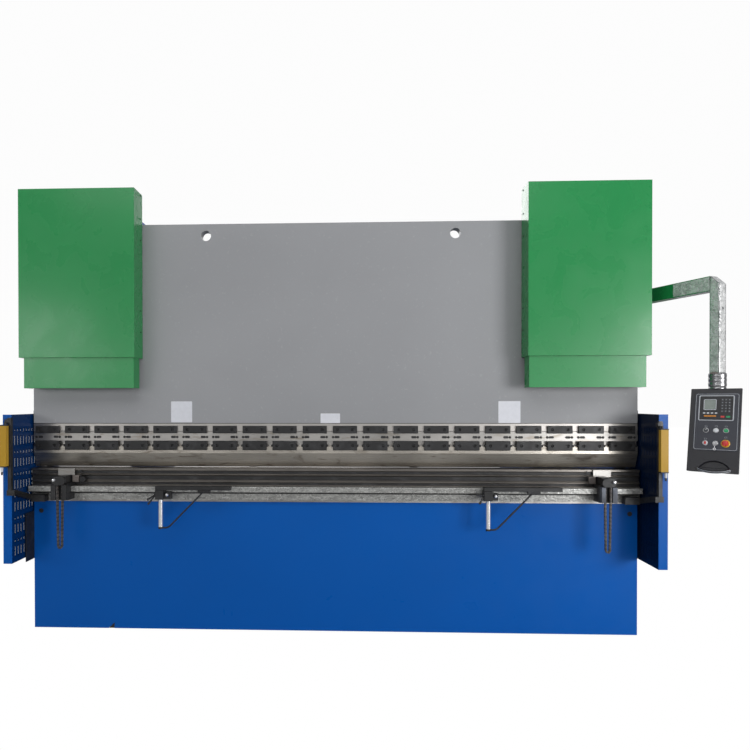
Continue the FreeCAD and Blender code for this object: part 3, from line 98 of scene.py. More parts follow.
# Pendant: console, handle, panel, arm and tube
HEAD = "pendant_head"
BOX_TURN = math.radians(-42.0)
BOX_WIDTH = 0.254
BOX_HEIGHT = 0.520
BOX_BACK = 0.057
BOX_TAPER = 0.034
BOX_TOP_FRONT = 0.034
BOX_FOOT_FRONT = 0.150
BOX_FOOT_DEPTH = 0.040
HANDLE_RISE = 0.026
HANDLE_TILT = 36.0
HANDLE_SIDE = 0.008
HANDLE_HALF = 0.088
HANDLE_REACH = 0.044
HANDLE_THICK = 0.014
HANDLE_HEIGHT = 0.012
POCKET_HALF = 0.074
POCKET_HEIGHT = 0.040
POCKET_DEPTH = 0.016
PANEL_WIDTH = 0.218
PANEL_SIDE = 0.008
PANEL_HEIGHT = 0.340
PANEL_DROP = 0.028
PANEL_THICK = 0.003
DISPLAY_FACE = 0.0020
ARM_TURN = math.radians(-67.0)
TUBE_HALF = 0.0285
TUBE_BEVEL = 0.053
FILM_CREASE = 0.0010
NECK_HEIGHT = 0.055
COLLAR_RADIUS = 0.0440
COLLAR_SWELL = 0.0016
SLEEVE_GAP = 0.0003

# Guards: slot pattern as in the model, and their screws
GUARD_PLANE = 2.012
GUARD_FLANGE_BACK = -0.258
GUARD_FOOT = 0.495
SLOT_FIRST_Y = 0.096
SLOT_COLUMNS = 11
SLOT_COLUMN_PITCH = 0.032
SLOT_WIDTH = 0.011
SLOT_BANDS = 6
SLOT_BAND_PITCH = 0.142
SHORT_SLOT = 0.024
LONG_SLOT = 0.072
SLOT_WEB = 0.018
# thickness of the dark sheets set in the guards' slots as painted shade
SLOT_SHADE_THICK = 0.0012
GUARD_SCREW_Y = 0.108
GUARD_SCREWS_Z = (0.652, 0.668, 1.302, 1.318)

# Chains
CHAIN_PITCH = 0.0127
CHAIN_TOP_RADIUS = 0.019
CHAIN_TAIL_RADIUS = 0.012
CHAIN_DROP = 0.424
TOOTH_ROOT = 0.0045
LINK_HEIGHT = 0.0112
LINK_THICK = 0.0013

SIDES = (("left", -1), ("right", 1))
IDENTITY = Matrix.Identity(4)
# Lays an outline's X along Y and its Y along Z, so that its depth runs along X
SIDEWAYS = Matrix(((0.0, 0.0, 1.0, 0.0), (1.0, 0.0, 0.0, 0.0), (0.0, 1.0, 0.0, 0.0),
                   (0.0, 0.0, 0.0, 1.0)))
X_AXIS = Vector((1.0, 0.0, 0.0))
Y_AXIS = Vector((0.0, 1.0, 0.0))
Z_AXIS = Vector((0.0, 0.0, 1.0))


def joined(tree, kind, inputs):
    """A new shader node; each input takes a plain value or another node's output."""
    node = tree.nodes.new(kind)
    for key, value in inputs.items():
        if isinstance(value, bpy.types.NodeSocket):
            tree.links.new(value, node.inputs[key])
        else:
            node.inputs[key].default_value = value
    return node


def computed(tree, operation, *values):
    node = joined(tree, "ShaderNodeMath", dict(enumerate(values)))
    node.operation = operation
    return node.outputs["Value"]


class Surface:
    """A procedural material on the principled shader, with short calls for its textures."""

    def __init__(self, name, slot, color, roughness, metallic=0.0):
        self.slot = slot
        self.material = bpy.data.materials.new(name + "_finish")
        self.material.use_nodes = True
        self.tree = self.material.node_tree
        self.shader = self.tree.nodes["Principled BSDF"]
        self.set(roughness=roughness, metallic=metallic)
        self.shader.inputs["Base Color"].default_value = (*color, 1.0)
        self.coordinates = self.tree.nodes.new("ShaderNodeTexCoord").outputs["Object"]
        self.normal = None

    def set(self, **values):
        for key, value in values.items():
            label = key.replace("_", " ").title().replace("Ior", "IOR")
            self.shader.inputs[label].default_value = value

    def feed(self, key, source):
        self.tree.links.new(source, self.shader.inputs[key])

    def place(self, scale):
        """Object coordinates stretched by a scale along each axis."""
        inputs = {"Vector": self.coordinates, "Scale": scale}
        return joined(self.tree, "ShaderNodeMapping", inputs).outputs["Vector"]

    def axis(self, letter):
        """One of the object coordinates, in metres."""
        inputs = {"Vector": self.coordinates}
        return joined(self.tree, "ShaderNodeSeparateXYZ", inputs).outputs[letter]

    def noise(self, scale, detail=3.0, distortion=0.0):
        """Cloudy grey: scale is one number, or one for each axis for streaks."""
        stretch = scale if isinstance(scale, tuple) else (scale, scale, scale)
        inputs = {"Vector": self.place(stretch), "Scale": 1.0, "Detail": detail,
                  "Distortion": distortion}
        return joined(self.tree, "ShaderNodeTexNoise", inputs).outputs["Fac"]

    def cells(self, scale):
        inputs = {"Vector": self.place((scale, scale, scale)), "Scale": 1.0}
        texture = joined(self.tree, "ShaderNodeTexVoronoi", inputs)
        texture.feature = "DISTANCE_TO_EDGE"
        return texture.outputs["Distance"]

    def spread(self, source, low, high, to_low=0.0, to_high=1.0):
        """Maps a range of the source to another, clamped."""
        inputs = {"Value": source, "From Min": low, "From Max": high, "To Min": to_low,
                  "To Max": to_high}
        return joined(self.tree, "ShaderNodeMapRange", inputs).outputs["Result"]

    def blend(self, factor, first, second):
        """A colour between two, each a colour or another blend."""
        node = self.tree.nodes.new("ShaderNodeMix")
        node.data_type = "RGBA"
        self.tree.links.new(factor, node.inputs["Factor"])
        for key, value in (("A", first), ("B", second)):
            socket = next(s for s in node.inputs if s.name == key and s.type == "RGBA")
            if isinstance(value, tuple):
                socket.default_value = (*value, 1.0)
            else:
                self.tree.links.new(value, socket)
        return next(s for s in node.outputs if s.type == "RGBA")

    def tone(self, factor, first, second):
        self.feed("Base Color", self.blend(factor, first, second))

    def rough(self, source, low, high, to_low, to_high):
        self.feed("Roughness", self.spread(source, low, high, to_low, to_high))

    def soften_edges(self, radius):
        """Rounds the look of sharp edges, as paint and grinding do."""
        node = joined(self.tree, "ShaderNodeBevel", {"Radius": radius})
        node.samples = 4
        self._chain(node)

    def bump(self, source, strength, distance):
        inputs = {"Height": source, "Strength": strength, "Distance": distance}
        self._chain(joined(self.tree, "ShaderNodeBump", inputs))

    def _chain(self, node):
        if self.normal is not None:
            self.tree.links.new(self.normal, node.inputs["Normal"])
        self.normal = node.outputs["Normal"]
        self.feed("Normal", self.normal)


def shade(color, factor):
    return tuple(min(1.0, channel * factor) for channel in color)


def painted(name, slot, color, roughness=0.3, coat=0.04, edge=0.002, shine=0.15):
    """Sprayed enamel: orange peel, slight waves of the sheet and faint cloudy tone."""
    paint = Surface(name, slot, color, roughness)
    paint.tone(paint.noise(0.9, 2.0), shade(color, 0.90), shade(color, 1.10))
    paint.rough(paint.noise(6.0, 5.0, 0.6), 0.3, 0.75, roughness * 0.8, roughness * 1.35)
    paint.set(coat_weight=coat, coat_roughness=0.14, specular_ior_level=shine)
    paint.soften_edges(edge)
    paint.bump(paint.noise(2.2, 1.0), 0.35, 0.004)
    paint.bump(paint.noise(260.0, 2.0), 0.10, 0.001)
    return paint


def ground_steel(name, slot, color, roughness=0.3, along=(1.2, 160.0, 420.0), stain=None):
    """Ground steel: fine scratches along the grinding, cloudy oil marks, and broad tone bands that are
    painted reflection of the surroundings.
    """
    steel = Surface(name, slot, color, roughness, metallic=1.0)
    # broad lighter and darker bands in the base colour: painted reflection of the surroundings
    bands = steel.noise((1.7, 2.0, 3.0), 3.0)
    base = steel.blend(steel.spread(bands, 0.32, 0.68), shade(color, 0.72), shade(color, 1.25))
    if stain is not None:
        spots = steel.spread(steel.noise((7.0, 9.0, 26.0), 6.0, 1.0), 0.55, 0.78)
        base = steel.blend(spots, base, stain)
    steel.feed("Base Color", base)
    scratches = steel.noise(along, 4.0)
    steel.rough(scratches, 0.25, 0.75, roughness * 0.7, roughness * 1.4)
    steel.soften_edges(0.0008)
    steel.bump(scratches, 0.16, 0.0006)
    return steel


def blackened(name, slot, color=(0.022, 0.022, 0.023), roughness=0.42):
    """Blackened steel: nearly black, with rubbed greyer patches and fine grain."""
    black = Surface(name, slot, color, roughness, metallic=0.35)
    rubbed = black.spread(black.noise(14.0, 6.0, 0.4), 0.5, 0.8)
    black.tone(rubbed, color, shade(color, 2.4))
    black.rough(black.noise(30.0, 4.0), 0.3, 0.7, 0.32, 0.55)
    black.soften_edges(0.0012)
    black.bump(black.noise(700.0, 2.0), 0.12, 0.0005)
    return black


def moulded(name, slot, color, roughness=0.35):
    """Moulded plastic or vinyl: fine grain and faint cloudy tone."""
    plastic = Surface(name, slot, color, roughness)
    plastic.tone(plastic.noise(40.0, 3.0), shade(color, 0.92), shade(color, 1.08))
    plastic.rough(plastic.noise(90.0, 3.0), 0.3, 0.7, roughness * 0.85, roughness * 1.2)
    plastic.bump(plastic.noise(1400.0, 2.0), 0.08, 0.0003)
    return plastic


def guard_finish(name, side, inner):
    """Blue guard paint, darker on the sheet's inner face as painted shade."""
    paint = painted(name, "blue_paint", BLUE, roughness=0.34)
    base = paint.shader.inputs["Base Color"].links[0].from_socket
    edge = side * (GUARD_PLANE + 0.0015)
    inward = paint.spread(paint.axis("X"), edge - side * 0.0005, edge + side * 0.0005, 1.0, 0.0)
    behind = paint.spread(paint.axis("Y"), GUARD_FLANGE_BACK - 0.0006, GUARD_FLANGE_BACK)
    # the sheet's inner face takes the inner colour: painted shade
    paint.tone(computed(paint.tree, "MULTIPLY", inward, behind), base, inner)
    return paint


BLUE = (0.0015, 0.092, 0.400)
GREEN = (0.016, 0.250, 0.068)
GREY = (0.300, 0.305, 0.318)

blue_paint = painted("blue_paint", "blue_paint", BLUE, roughness=0.34)
# inner colours much darker than the paint: painted shade on the guards' inner faces
right_guard_paint_and_shade = guard_finish("right_guard_paint_and_shade", 1.0, shade(BLUE, 0.07))
left_guard_paint_and_shade = guard_finish("left_guard_paint_and_shade", -1.0, shade(BLUE, 0.30))
# a dark blue for the sheets set in the guards' slots: painted shade
slot_shade_blue = painted("slot_shade_blue", "blue_paint", shade(BLUE, 0.10), roughness=0.5, coat=0.0)
green_paint = painted("green_paint", "green_paint", GREEN, roughness=0.28, coat=0.18,
                      shine=0.35)
machine_grey = painted("machine_grey", "grey_paint", shade(GREY, 0.8), roughness=0.4)
yellow_paint = painted("yellow_paint", "yellow_housing", (0.46, 0.27, 0.030), 0.36, 0.0, 0.0015)
tool_steel = ground_steel("tool_steel", "tool_steel", (0.43, 0.40, 0.355), 0.30,
                          stain=(0.16, 0.13, 0.10))
die_steel = ground_steel("die_steel", "tool_steel", (0.20, 0.185, 0.17), 0.32)
rail_steel = ground_steel("rail_steel", "bare_steel", (0.37, 0.357, 0.34), 0.36,
                          stain=(0.24, 0.21, 0.17))
bolt_steel = ground_steel("bolt_steel", "bare_steel", (0.46, 0.46, 0.47), 0.3,
                          (90.0, 90.0, 90.0))
black_steel = blackened("black_steel", "black_steel")
chain_steel = blackened("chain_steel", "black_steel", (0.150, 0.130, 0.120), 0.34)
# a lighter copy of the black steel for the right cheeks: painted light
lit_cheek_grey = blackened("lit_cheek_grey", "black_steel", (0.050, 0.056, 0.070), 0.38)
stainless = ground_steel("stainless", "stainless", (0.36, 0.36, 0.37), 0.24,
                         (60.0, 60.0, 700.0))
console_black = moulded("console_black", "black_housing", (0.014, 0.014, 0.019), 0.38)
panel_slate = moulded("panel_slate", "panel_face", (0.034, 0.037, 0.052), 0.42)
display_black = moulded("display_black", "panel_face", (0.006, 0.006, 0.009), 0.35)
trim_grey = moulded("trim_grey", "controls", (0.50, 0.52, 0.56), 0.35)
button_red = moulded("button_red", "controls", (0.62, 0.035, 0.030), 0.25)
button_green = moulded("button_green", "controls", (0.015, 0.32, 0.12), 0.25)
button_white = moulded("button_white", "controls", (0.72, 0.74, 0.78), 0.25)
button_yellow = moulded("button_yellow", "controls", (0.75, 0.42, 0.02), 0.3)
key_orange = moulded("key_orange", "controls", (0.66, 0.24, 0.02), 0.35)
key_dark = moulded("key_dark", "controls", (0.06, 0.065, 0.075), 0.4)
cable_rubber = moulded("cable_rubber", "black_housing", (0.012, 0.012, 0.013), 0.5)
label_vinyl = moulded("label_vinyl", "controls", (0.66, 0.67, 0.72), 0.4)


def lcd():
    """Grey-green liquid crystal window with faint cells."""
    glass = Surface("lcd_window", "controls", (0.12, 0.17, 0.145), 0.12)
    glass.tone(glass.noise(25.0, 1.0), (0.09, 0.13, 0.11), (0.15, 0.20, 0.17))
    glass.set(coat_weight=0.6, coat_roughness=0.05)
    return glass


def chromed():
    """Hard chrome: bright, with faint draw marks round it."""
    chrome = Surface("chrome", "chrome", (0.88, 0.88, 0.90), 0.20, metallic=0.80)
    chrome.rough(chrome.noise((30.0, 30.0, 900.0), 3.0), 0.3, 0.7, 0.14, 0.28)
    return chrome


def ram_finish():
    """Grey enamel above a ground strip that is left bare over the clamps."""
    paint = Surface("ram_paint", "grey_paint", GREY, 0.40)
    tone = paint.noise((0.8, 0.8, 1.1), 3.0)
    grey = paint.blend(tone, shade(GREY, 0.86), shade(GREY, 1.14))
    dust = paint.spread(paint.noise(55.0, 6.0, 0.5), 0.62, 0.80, 0.0, 0.35)
    grey = paint.blend(dust, grey, shade(GREY, 1.5))
    ragged = paint.noise(35.0, 2.0)
    edge = computed(paint.tree, "MULTIPLY_ADD", ragged, 0.004, paint.axis("Z"))
    above = paint.spread(edge, PAINT_EDGE + 0.0015, PAINT_EDGE + 0.0025)
    paint.tone(above, (0.42, 0.40, 0.38), grey)
    paint.feed("Metallic", paint.spread(above, 0.0, 1.0, 1.0, 0.0))
    paint.rough(paint.noise(5.0, 5.0, 0.5), 0.3, 0.75, 0.32, 0.50)
    paint.set(coat_weight=0.04, coat_roughness=0.2, specular_ior_level=0.25)
    paint.soften_edges(0.002)
    paint.bump(paint.noise(1.6, 1.0), 0.3, 0.004)
    paint.bump(paint.noise(180.0, 3.0), 0.14, 0.001)
    return paint


def film_finish(name, color, roughness):
    """Crinkled packing film: sharp folds over a soft silvery sheen, its colour darker in the creases
    and lighter on the ridges as painted shade and light.
    """
    film = Surface(name, "stainless", color, roughness, metallic=0.45)
    folds = film.noise((26.0, 40.0, 40.0), 6.0, 1.4)
    # the colour follows the fold heights: painted shade in the creases, painted light on the ridges
    film.tone(film.spread(folds, 0.3, 0.7), shade(color, 0.62), shade(color, 1.25))
    film.rough(film.noise(18.0, 4.0, 0.8), 0.3, 0.7, 0.16, 0.42)
    film.bump(folds, 0.55, 0.004)
    film.bump(film.cells(34.0), 0.35, 0.003)
    return film


lcd_window = lcd()
chrome = chromed()
ram_paint = ram_finish()
rail_film = film_finish("rail_film", (0.36, 0.36, 0.345), 0.28)
arm_film = film_finish("arm_film", (0.80, 0.82, 0.81), 0.25)

def both(*words):
    """The names of the left and the right node for each word."""
    return [f"{side}_{word}" for word in words for side, _ in SIDES]


NODE_FINISHES = {
    blue_paint: ["bed_plate", "base_plates", "rear_beam", "guard_posts", "oil_tank",
                 "back_gauge_rails", "electrical_cabinet", *both("side_frame")],
    right_guard_paint_and_shade: ["right_guard"],
    left_guard_paint_and_shade: ["left_guard"],
    green_paint: ["pendant_bracket", "pendant_arm", *both("cover", "cover_skirt")],
    ram_paint: ["ram_plate"],
    machine_grey: ["pump_motor", *both("cylinder")],
    tool_steel: ["punch"],
    die_steel: ["lower_die"],
    rail_steel: ["table_rail", "front_guide_rail", "die_stops", "clamp_rail", "ram_guides",
                 "back_gauge_beam"],
    black_steel: ["upper_clamp_plates", "lower_clamp_plates", "left_end_plate",
                  *both("curtain_arm", "chain_bracket", "chain", "support_carriage",
                        "support_arm")],
    yellow_paint: both("light_curtain"),
    chrome: ["piston_rods"],
    stainless: ["pendant_tube", "pendant_collar", "hydraulic_pipes"],
    bolt_steel: ["chain_wheels"],
    console_black: ["pendant_box", "pendant_handle"],
    panel_slate: ["control_panel"],
    button_red: ["panel_buttons"],
}


def dress_nodes():
    for surface, names in NODE_FINISHES.items():
        for name in names:
            mesh = frame["nodes"][name].data
            mesh.materials.clear()
            mesh.materials.append(surface.material)


def aimed(point, direction, up=Z_AXIS):
    """A placing whose Z looks along the direction and whose Y stays near up."""
    z = Vector(direction).normalized()
    side = Vector(up).cross(z)
    if side.length < 1e-6:
        side = X_AXIS.copy()
    x = side.normalized()
    y = z.cross(x)
    turn = Matrix((x, y, z)).transposed().to_4x4()
    return Matrix.Translation(Vector(point)) @ turn


def facing(x, y, z):
    """A placing whose Z looks to the operator."""
    return aimed((x, y, z), -Y_AXIS)


def moved(x, y, z):
    return Matrix.Translation((x, y, z))


def polar(radius, angle, x=0.0, y=0.0):
    return x + radius * math.cos(angle), y + radius * math.sin(angle)


def between(first, second, share):
    return [a + (b - a) * share for a, b in zip(first, second)]


def circle(radius, segments=24):
    step = 2.0 * math.pi / segments
    return [polar(radius, step * i) for i in range(segments)]


def rounded_rectangle(width, height, radius, segments=6):
    """Corner points of a rectangle about the origin, with round corners."""
    x, y = width / 2.0 - radius, height / 2.0 - radius
    corners = ((1, 1, 0.0), (-1, 1, 0.5), (-1, -1, 1.0), (1, -1, 1.5))
    return [polar(radius, math.pi * (start + 0.5 * i / segments), sign_x * x, sign_y * y)
            for sign_x, sign_y, start in corners for i in range(segments + 1)]


def stadium(length, height, segments=8):
    """An oblong with round ends, lying along local X."""
    reach = length / 2.0 - height / 2.0
    return [polar(height / 2.0, math.pi * (start + i / segments), side * reach)
            for side, start in ((1, -0.5), (-1, 0.5)) for i in range(segments + 1)]


class Build:
    """Gathers the mesh parts of one piece, each placed by a matrix."""

    def __init__(self):
        self.mesh = bmesh.new()

    def _keep(self, verts, place):
        bmesh.ops.transform(self.mesh, matrix=place, verts=list(verts))

    def box(self, low, high, place=IDENTITY):
        size = [abs(b - a) for a, b in zip(low, high)]
        middle = [(a + b) / 2.0 for a, b in zip(low, high)]
        made = bmesh.ops.create_cube(self.mesh, size=1.0)
        at = Matrix.Translation(middle) @ Matrix.Diagonal((*size, 1.0))
        self._keep(made["verts"], place @ at)
        return self

    def rod(self, start, end, radius, segments=20, end_radius=None):
        """A cylinder or cone from one point to another."""
        start, end = Vector(start), Vector(end)
        last = radius if end_radius is None else end_radius
        made = bmesh.ops.create_cone(self.mesh, cap_ends=True, segments=segments, radius1=radius,
                                     radius2=last, depth=(end - start).length)
        self._keep(made["verts"], aimed((start + end) / 2.0, end - start))
        return self

    def levels(self, outlines):
        """A row of vertices for each (outline, height) pair."""
        return [[self.mesh.verts.new((x, y, z)) for x, y in outline] for outline, z in outlines]

    def skin(self, rows, closed=True):
        """Faces between each row of vertices and the next; a row of one is a pole."""
        for row, other in zip(rows, rows[1:]):
            count = max(len(row), len(other))
            for i in range(count if closed else count - 1):
                after = (i + 1) % count
                corners = dict.fromkeys((row[i % len(row)], row[after % len(row)],
                                         other[after % len(other)], other[i % len(other)]))
                if len(corners) > 2:
                    self.mesh.faces.new(list(corners))
        return self

    def cap(self, rows):
        self.mesh.faces.new(reversed(rows[0]))
        self.mesh.faces.new(rows[-1])
        return self

    def prism(self, outline, depth, place=IDENTITY, lift=0.0):
        """An outline in local XY, from lift to lift + depth along local Z."""
        rows = self.levels(((outline, lift), (outline, lift + depth)))
        self.cap(rows).skin(rows)._keep(rows[0] + rows[1], place)
        return self

    def ring(self, outer, inner, depth, place=IDENTITY):
        """A frame between two outlines of equally many points."""
        rows = self.levels(((outer, 0.0), (outer, depth), (inner, depth), (inner, 0.0)))
        self.skin(rows + rows[:1])._keep([v for row in rows for v in row], place)
        return self

    def lathe(self, profile, place=IDENTITY, segments=32):
        """A closed shape turned about local Z from (radius, z) points."""
        rows = self.levels([(circle(radius, segments) if radius else [(0.0, 0.0)], z)
                            for radius, z in profile])
        self.skin(rows)._keep([v for row in rows for v in row], place)
        return self

    def tube(self, points, radius, segments=12):
        """A round bar along a smooth line of points."""
        points = [Vector(p) for p in points]
        rows = []
        side = None
        for i, point in enumerate(points):
            ahead = points[min(i + 1, len(points) - 1)] - points[max(i - 1, 0)]
            ahead.normalize()
            if side is None:
                side = ahead.orthogonal().normalized()
            side = (side - ahead * side.dot(ahead)).normalized()
            other = ahead.cross(side)
            rows.append([self.mesh.verts.new(point + side * x + other * y)
                         for x, y in circle(radius, segments)])
        return self.skin(rows).cap(rows)

    def copies(self, mesh, places):
        """Copies of a finished mesh, one at each place."""
        for place in places:
            before = set(self.mesh.verts)
            self.mesh.from_mesh(mesh)
            self._keep([v for v in self.mesh.verts if v not in before], place)
        return self

    def data(self, name):
        bmesh.ops.recalc_face_normals(self.mesh, faces=self.mesh.faces)
        mesh = bpy.data.meshes.new(name)
        self.mesh.to_mesh(mesh)
        self.mesh.free()
        return mesh

    def finish(self, name, surface, body, bevel=0.0, replaces=(), angle=35.0):
        place_piece(name, self.data(name), surface, body, bevel, replaces, angle)


def place_piece(name, mesh, surface, body, bevel=0.0, replaces=(), angle=35.0):
    """Makes the piece's object, smooth but for its sharp edges, and hands it to its body."""
    mesh.materials.clear()
    mesh.materials.append(surface.material)
    mesh.polygons.foreach_set("use_smooth", [True] * len(mesh.polygons))
    mesh.set_sharp_from_angle(angle=math.radians(angle))
    piece = bpy.data.objects.new(name, mesh)
    scene.collection.objects.link(piece)
    if bevel:
        rounding = piece.modifiers.new("rounding", "BEVEL")
        rounding.width = bevel
        rounding.segments = 2
        rounding.limit_method = "ANGLE"
        rounding.angle_limit = math.radians(angle)
        rounding.harden_normals = True
    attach(piece, body)
    if replaces:
        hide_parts(*replaces)


def cut_mesh(name, base, cutter):
    """The base build with the cutter build taken out of it, as a mesh."""
    solid = bpy.data.objects.new(name + "_base", base.data(name + "_base"))
    tool = bpy.data.objects.new(name + "_cut", cutter.data(name + "_cut"))
    for item in (solid, tool):
        scene.collection.objects.link(item)
    change = solid.modifiers.new("cut", "BOOLEAN")
    change.object = tool
    change.operation = "DIFFERENCE"
    change.solver = "EXACT"
    bpy.context.view_layer.update()
    mesh = bpy.data.meshes.new_from_object(solid.evaluated_get(
        bpy.context.evaluated_depsgraph_get()))
    for item in (solid, tool):
        bpy.data.objects.remove(item)
    return mesh


def socket_head(radius, height):
    """A cap screw's head: a chamfered rim round a six-sided socket."""
    chamfer = radius * 0.18
    socket = radius * 0.55
    depth = height * 0.6
    head = Build()
    rim = circle(radius, 24)
    top = circle(radius - chamfer, 24)
    hexagon = [Vector(point) for point in circle(socket, 6)]
    corner = [hexagon[i // 4].lerp(hexagon[(i // 4 + 1) % 6], (i % 4) / 4.0) for i in range(24)]
    rows = head.levels(((rim, 0.0), (rim, height - chamfer), (top, height), (corner, height),
                        (corner, height - depth)))
    return head.skin(rows).cap(rows).data("socket_head")


def station_centres():
    low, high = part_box("clamp_rail")
    pitch = (high.x - low.x) / STATION_COUNT
    return [low.x + pitch * (index + 0.5) for index in range(STATION_COUNT)]


def clamp_row(name, node, head):
    """One row of clamp plates, each with two counterbored screws."""
    low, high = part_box(node)
    low.y = high.y - PLATE_THICK
    height = high.z - low.z
    middle = (low.z + high.z) / 2.0
    plate = Build()
    outline = [(high.y, -height / 2.0), (high.y, height / 2.0),
               (low.y + PLATE_BEVEL, height / 2.0), (low.y, height / 2.0 - PLATE_BEVEL),
               (low.y, -height / 2.0 + PLATE_BEVEL), (low.y + PLATE_BEVEL, -height / 2.0)]
    plate.prism(outline, PLATE_WIDTH, SIDEWAYS, lift=-PLATE_WIDTH / 2.0)
    holes = Build()
    for side in (-1, 1):
        at = Vector((side * BOLT_SPACING / 2.0, low.y, 0.0))
        holes.rod(at - Y_AXIS * COUNTERBORE_DEPTH, at + Y_AXIS * COUNTERBORE_DEPTH,
                  COUNTERBORE_RADIUS, 28)
    mesh = cut_mesh(name, plate, holes)
    places = [Matrix.Translation((x, 0.0, middle)) for x in station_centres()]
    Build().copies(mesh, places).finish(name, black_steel, "ram", 0.0012, [node])
    seats = [facing(x + side * BOLT_SPACING / 2.0, low.y + COUNTERBORE_DEPTH, middle)
             for x in station_centres() for side in (-1, 1)]
    Build().copies(head, seats).finish(name + "_screws", black_steel, "ram")


def clamp_details():
    """Both rows of plates, the slots' screws, black fills with a small stud back in the oblong slots as
    painted shade, and the side plungers.
    """
    head = socket_head(BOLT_RADIUS, 0.0065)
    clamp_row("upper_plates", "upper_clamp_plates", head)
    clamp_row("lower_plates", "lower_clamp_plates", head)
    lower_low, lower_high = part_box("lower_clamp_plates")
    slot_z = (lower_high.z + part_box("upper_clamp_plates")[0].z) / 2.0
    level = (lower_low.z + lower_high.z) / 2.0
    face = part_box("clamp_rail")[0].y
    seats = []
    keys, plungers = Build(), Build()
    for x in station_centres():
        for side in (-1, 1):
            seats.append(facing(x + side * SLOT_BOLT_OFFSET, face + 0.0005, slot_z))
            # a black fill back in each oblong slot, with a small stud: painted shade in the slot
            fill_x = x + side * OBLONG_SLOT_OFFSET
            keys.prism(rounded_rectangle(0.0334, 0.0154, 0.0050, 2), 0.0080,
                       facing(fill_x, face + 0.0100, slot_z))
            keys.rod((fill_x, face + 0.0025, slot_z), (fill_x, face + 0.0008, slot_z), 0.0055, 6)
            start = Vector((x + side * PLATE_WIDTH / 2.0, lower_high.y - 0.0090, level))
            plungers.rod(start, start + X_AXIS * side * 0.009, 0.0085, 18, 0.0070)
    Build().copies(socket_head(0.0080, 0.0050), seats).finish("wedge_screws", cable_rubber, "ram")
    keys.finish("slot_shade_fills", cable_rubber, "ram")
    plungers.finish("clamp_plungers", black_steel, "ram")


def ram_details():
    """Bare label sheets and the dark strips on the ram's ends."""
    low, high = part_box("ram_plate")
    for index, (left, right, bottom, top) in enumerate(LABEL_SPOTS):
        outline = rounded_rectangle(right - left, top - bottom, 0.004)
        place = facing((left + right) / 2.0, low.y, (bottom + top) / 2.0)
        Build().prism(outline, 0.0006, place).finish(f"label_place_{index}", label_vinyl, "ram")
    Build().box((low.x + 0.001, low.y - 0.0010, PAINT_EDGE - 0.0006),
                (high.x - 0.001, low.y, PAINT_EDGE + 0.0030)).finish(
                    "rail_joint_line", black_steel, "ram")
    strips = Build()
    for side in (-1, 1):
        inner = side * (high.x + SCREW_LIFT)
        outer = side * (high.x + 0.006)
        bottom, top = END_STRIP_Z
        strips.box((inner, low.y + 0.006, bottom), (outer, high.y - 0.006, top))
        for z in (bottom + 0.017, top - 0.017):
            strips.rod((outer, 0.0, z), (outer + side * 0.004, 0.0, z), 0.006, 16)
    strips.finish("ram_end_strips", black_steel, "ram", bevel=0.001)


def chain_line(center_x, middle_y, wheel_z):
    """Pin places round the hanging loop, an even number of equal steps apart."""
    top_turn = math.pi * CHAIN_TOP_RADIUS
    tail_turn = math.pi * CHAIN_TAIL_RADIUS
    total = 2.0 * CHAIN_DROP + top_turn + tail_turn
    count = 2 * round(total / CHAIN_PITCH / 2.0)
    top, tail = (CHAIN_TOP_RADIUS, 0.0), (CHAIN_TAIL_RADIUS, -CHAIN_DROP)
    pins = []
    for index in range(count):
        run = total * index / count
        if run < top_turn:
            x, z = polar(CHAIN_TOP_RADIUS, math.pi - run / CHAIN_TOP_RADIUS)
        elif run < top_turn + CHAIN_DROP:
            x, z = between(top, tail, (run - top_turn) / CHAIN_DROP)
        elif run < total - CHAIN_DROP:
            angle = -(run - top_turn - CHAIN_DROP) / CHAIN_TAIL_RADIUS
            x, z = polar(CHAIN_TAIL_RADIUS, angle, 0.0, -CHAIN_DROP)
        else:
            x, z = between(top, tail, (total - run) / CHAIN_DROP)
            x = -x
        pins.append(Vector((center_x + x, middle_y, wheel_z + z)))
    return pins


def roller_chain(word):
    """Inner and outer links by turns, with their rollers and pins."""
    low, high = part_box(word + "_chain")
    middle_y = (low.y + high.y) / 2.0
    center_x = (low.x + high.x) / 2.0
    wheel_z = high.z - CHAIN_TOP_RADIUS - TOOTH_ROOT
    pins = chain_line(center_x, middle_y, wheel_z)
    chain, rollers = Build(), Build()
    for index, pin in enumerate(pins):
        after = pins[(index + 1) % len(pins)]
        outer = index % 2
        gap = 0.0062 if outer else 0.0046
        along = (after - pin).normalized()
        outline = stadium(CHAIN_PITCH + LINK_HEIGHT, LINK_HEIGHT, 5)
        for face in (-1, 1):
            middle = (pin + after) / 2.0 + Y_AXIS * (face * gap)
            place = aimed(middle, Y_AXIS * face, along.cross(Y_AXIS * face))
            (chain if outer else rollers).prism(outline, LINK_THICK, place)
        for half, radius, segments in ((0.0046, 0.0040, 10), (0.0086, 0.0024, 8)):
            rollers.rod(pin - Y_AXIS * half, pin + Y_AXIS * half, radius, segments)
    chain.finish(word + "_roller_chain", black_steel, "root", replaces=[word + "_chain"])
    # inner links and rollers take a lighter brown than the dark outer links: painted highlight that
    # makes the links stand out
    rollers.finish(word + "_chain_rollers", chain_steel, "root")
    return center_x, middle_y, wheel_z


def sprocket(word, center_x, middle_y, wheel_z):
    """The toothed wheel that the loop hangs from."""
    teeth = 9
    root = CHAIN_TOP_RADIUS - TOOTH_ROOT
    outline = [polar(root + (0.0042 if index % 6 in (2, 3) else 0.0),
                     2.0 * math.pi * index / (teeth * 6)) for index in range(teeth * 6)]
    place = facing(center_x, middle_y + 0.0022, wheel_z)
    Build().prism(outline, 0.0044, place).finish(word + "_sprocket", bolt_steel, "root")


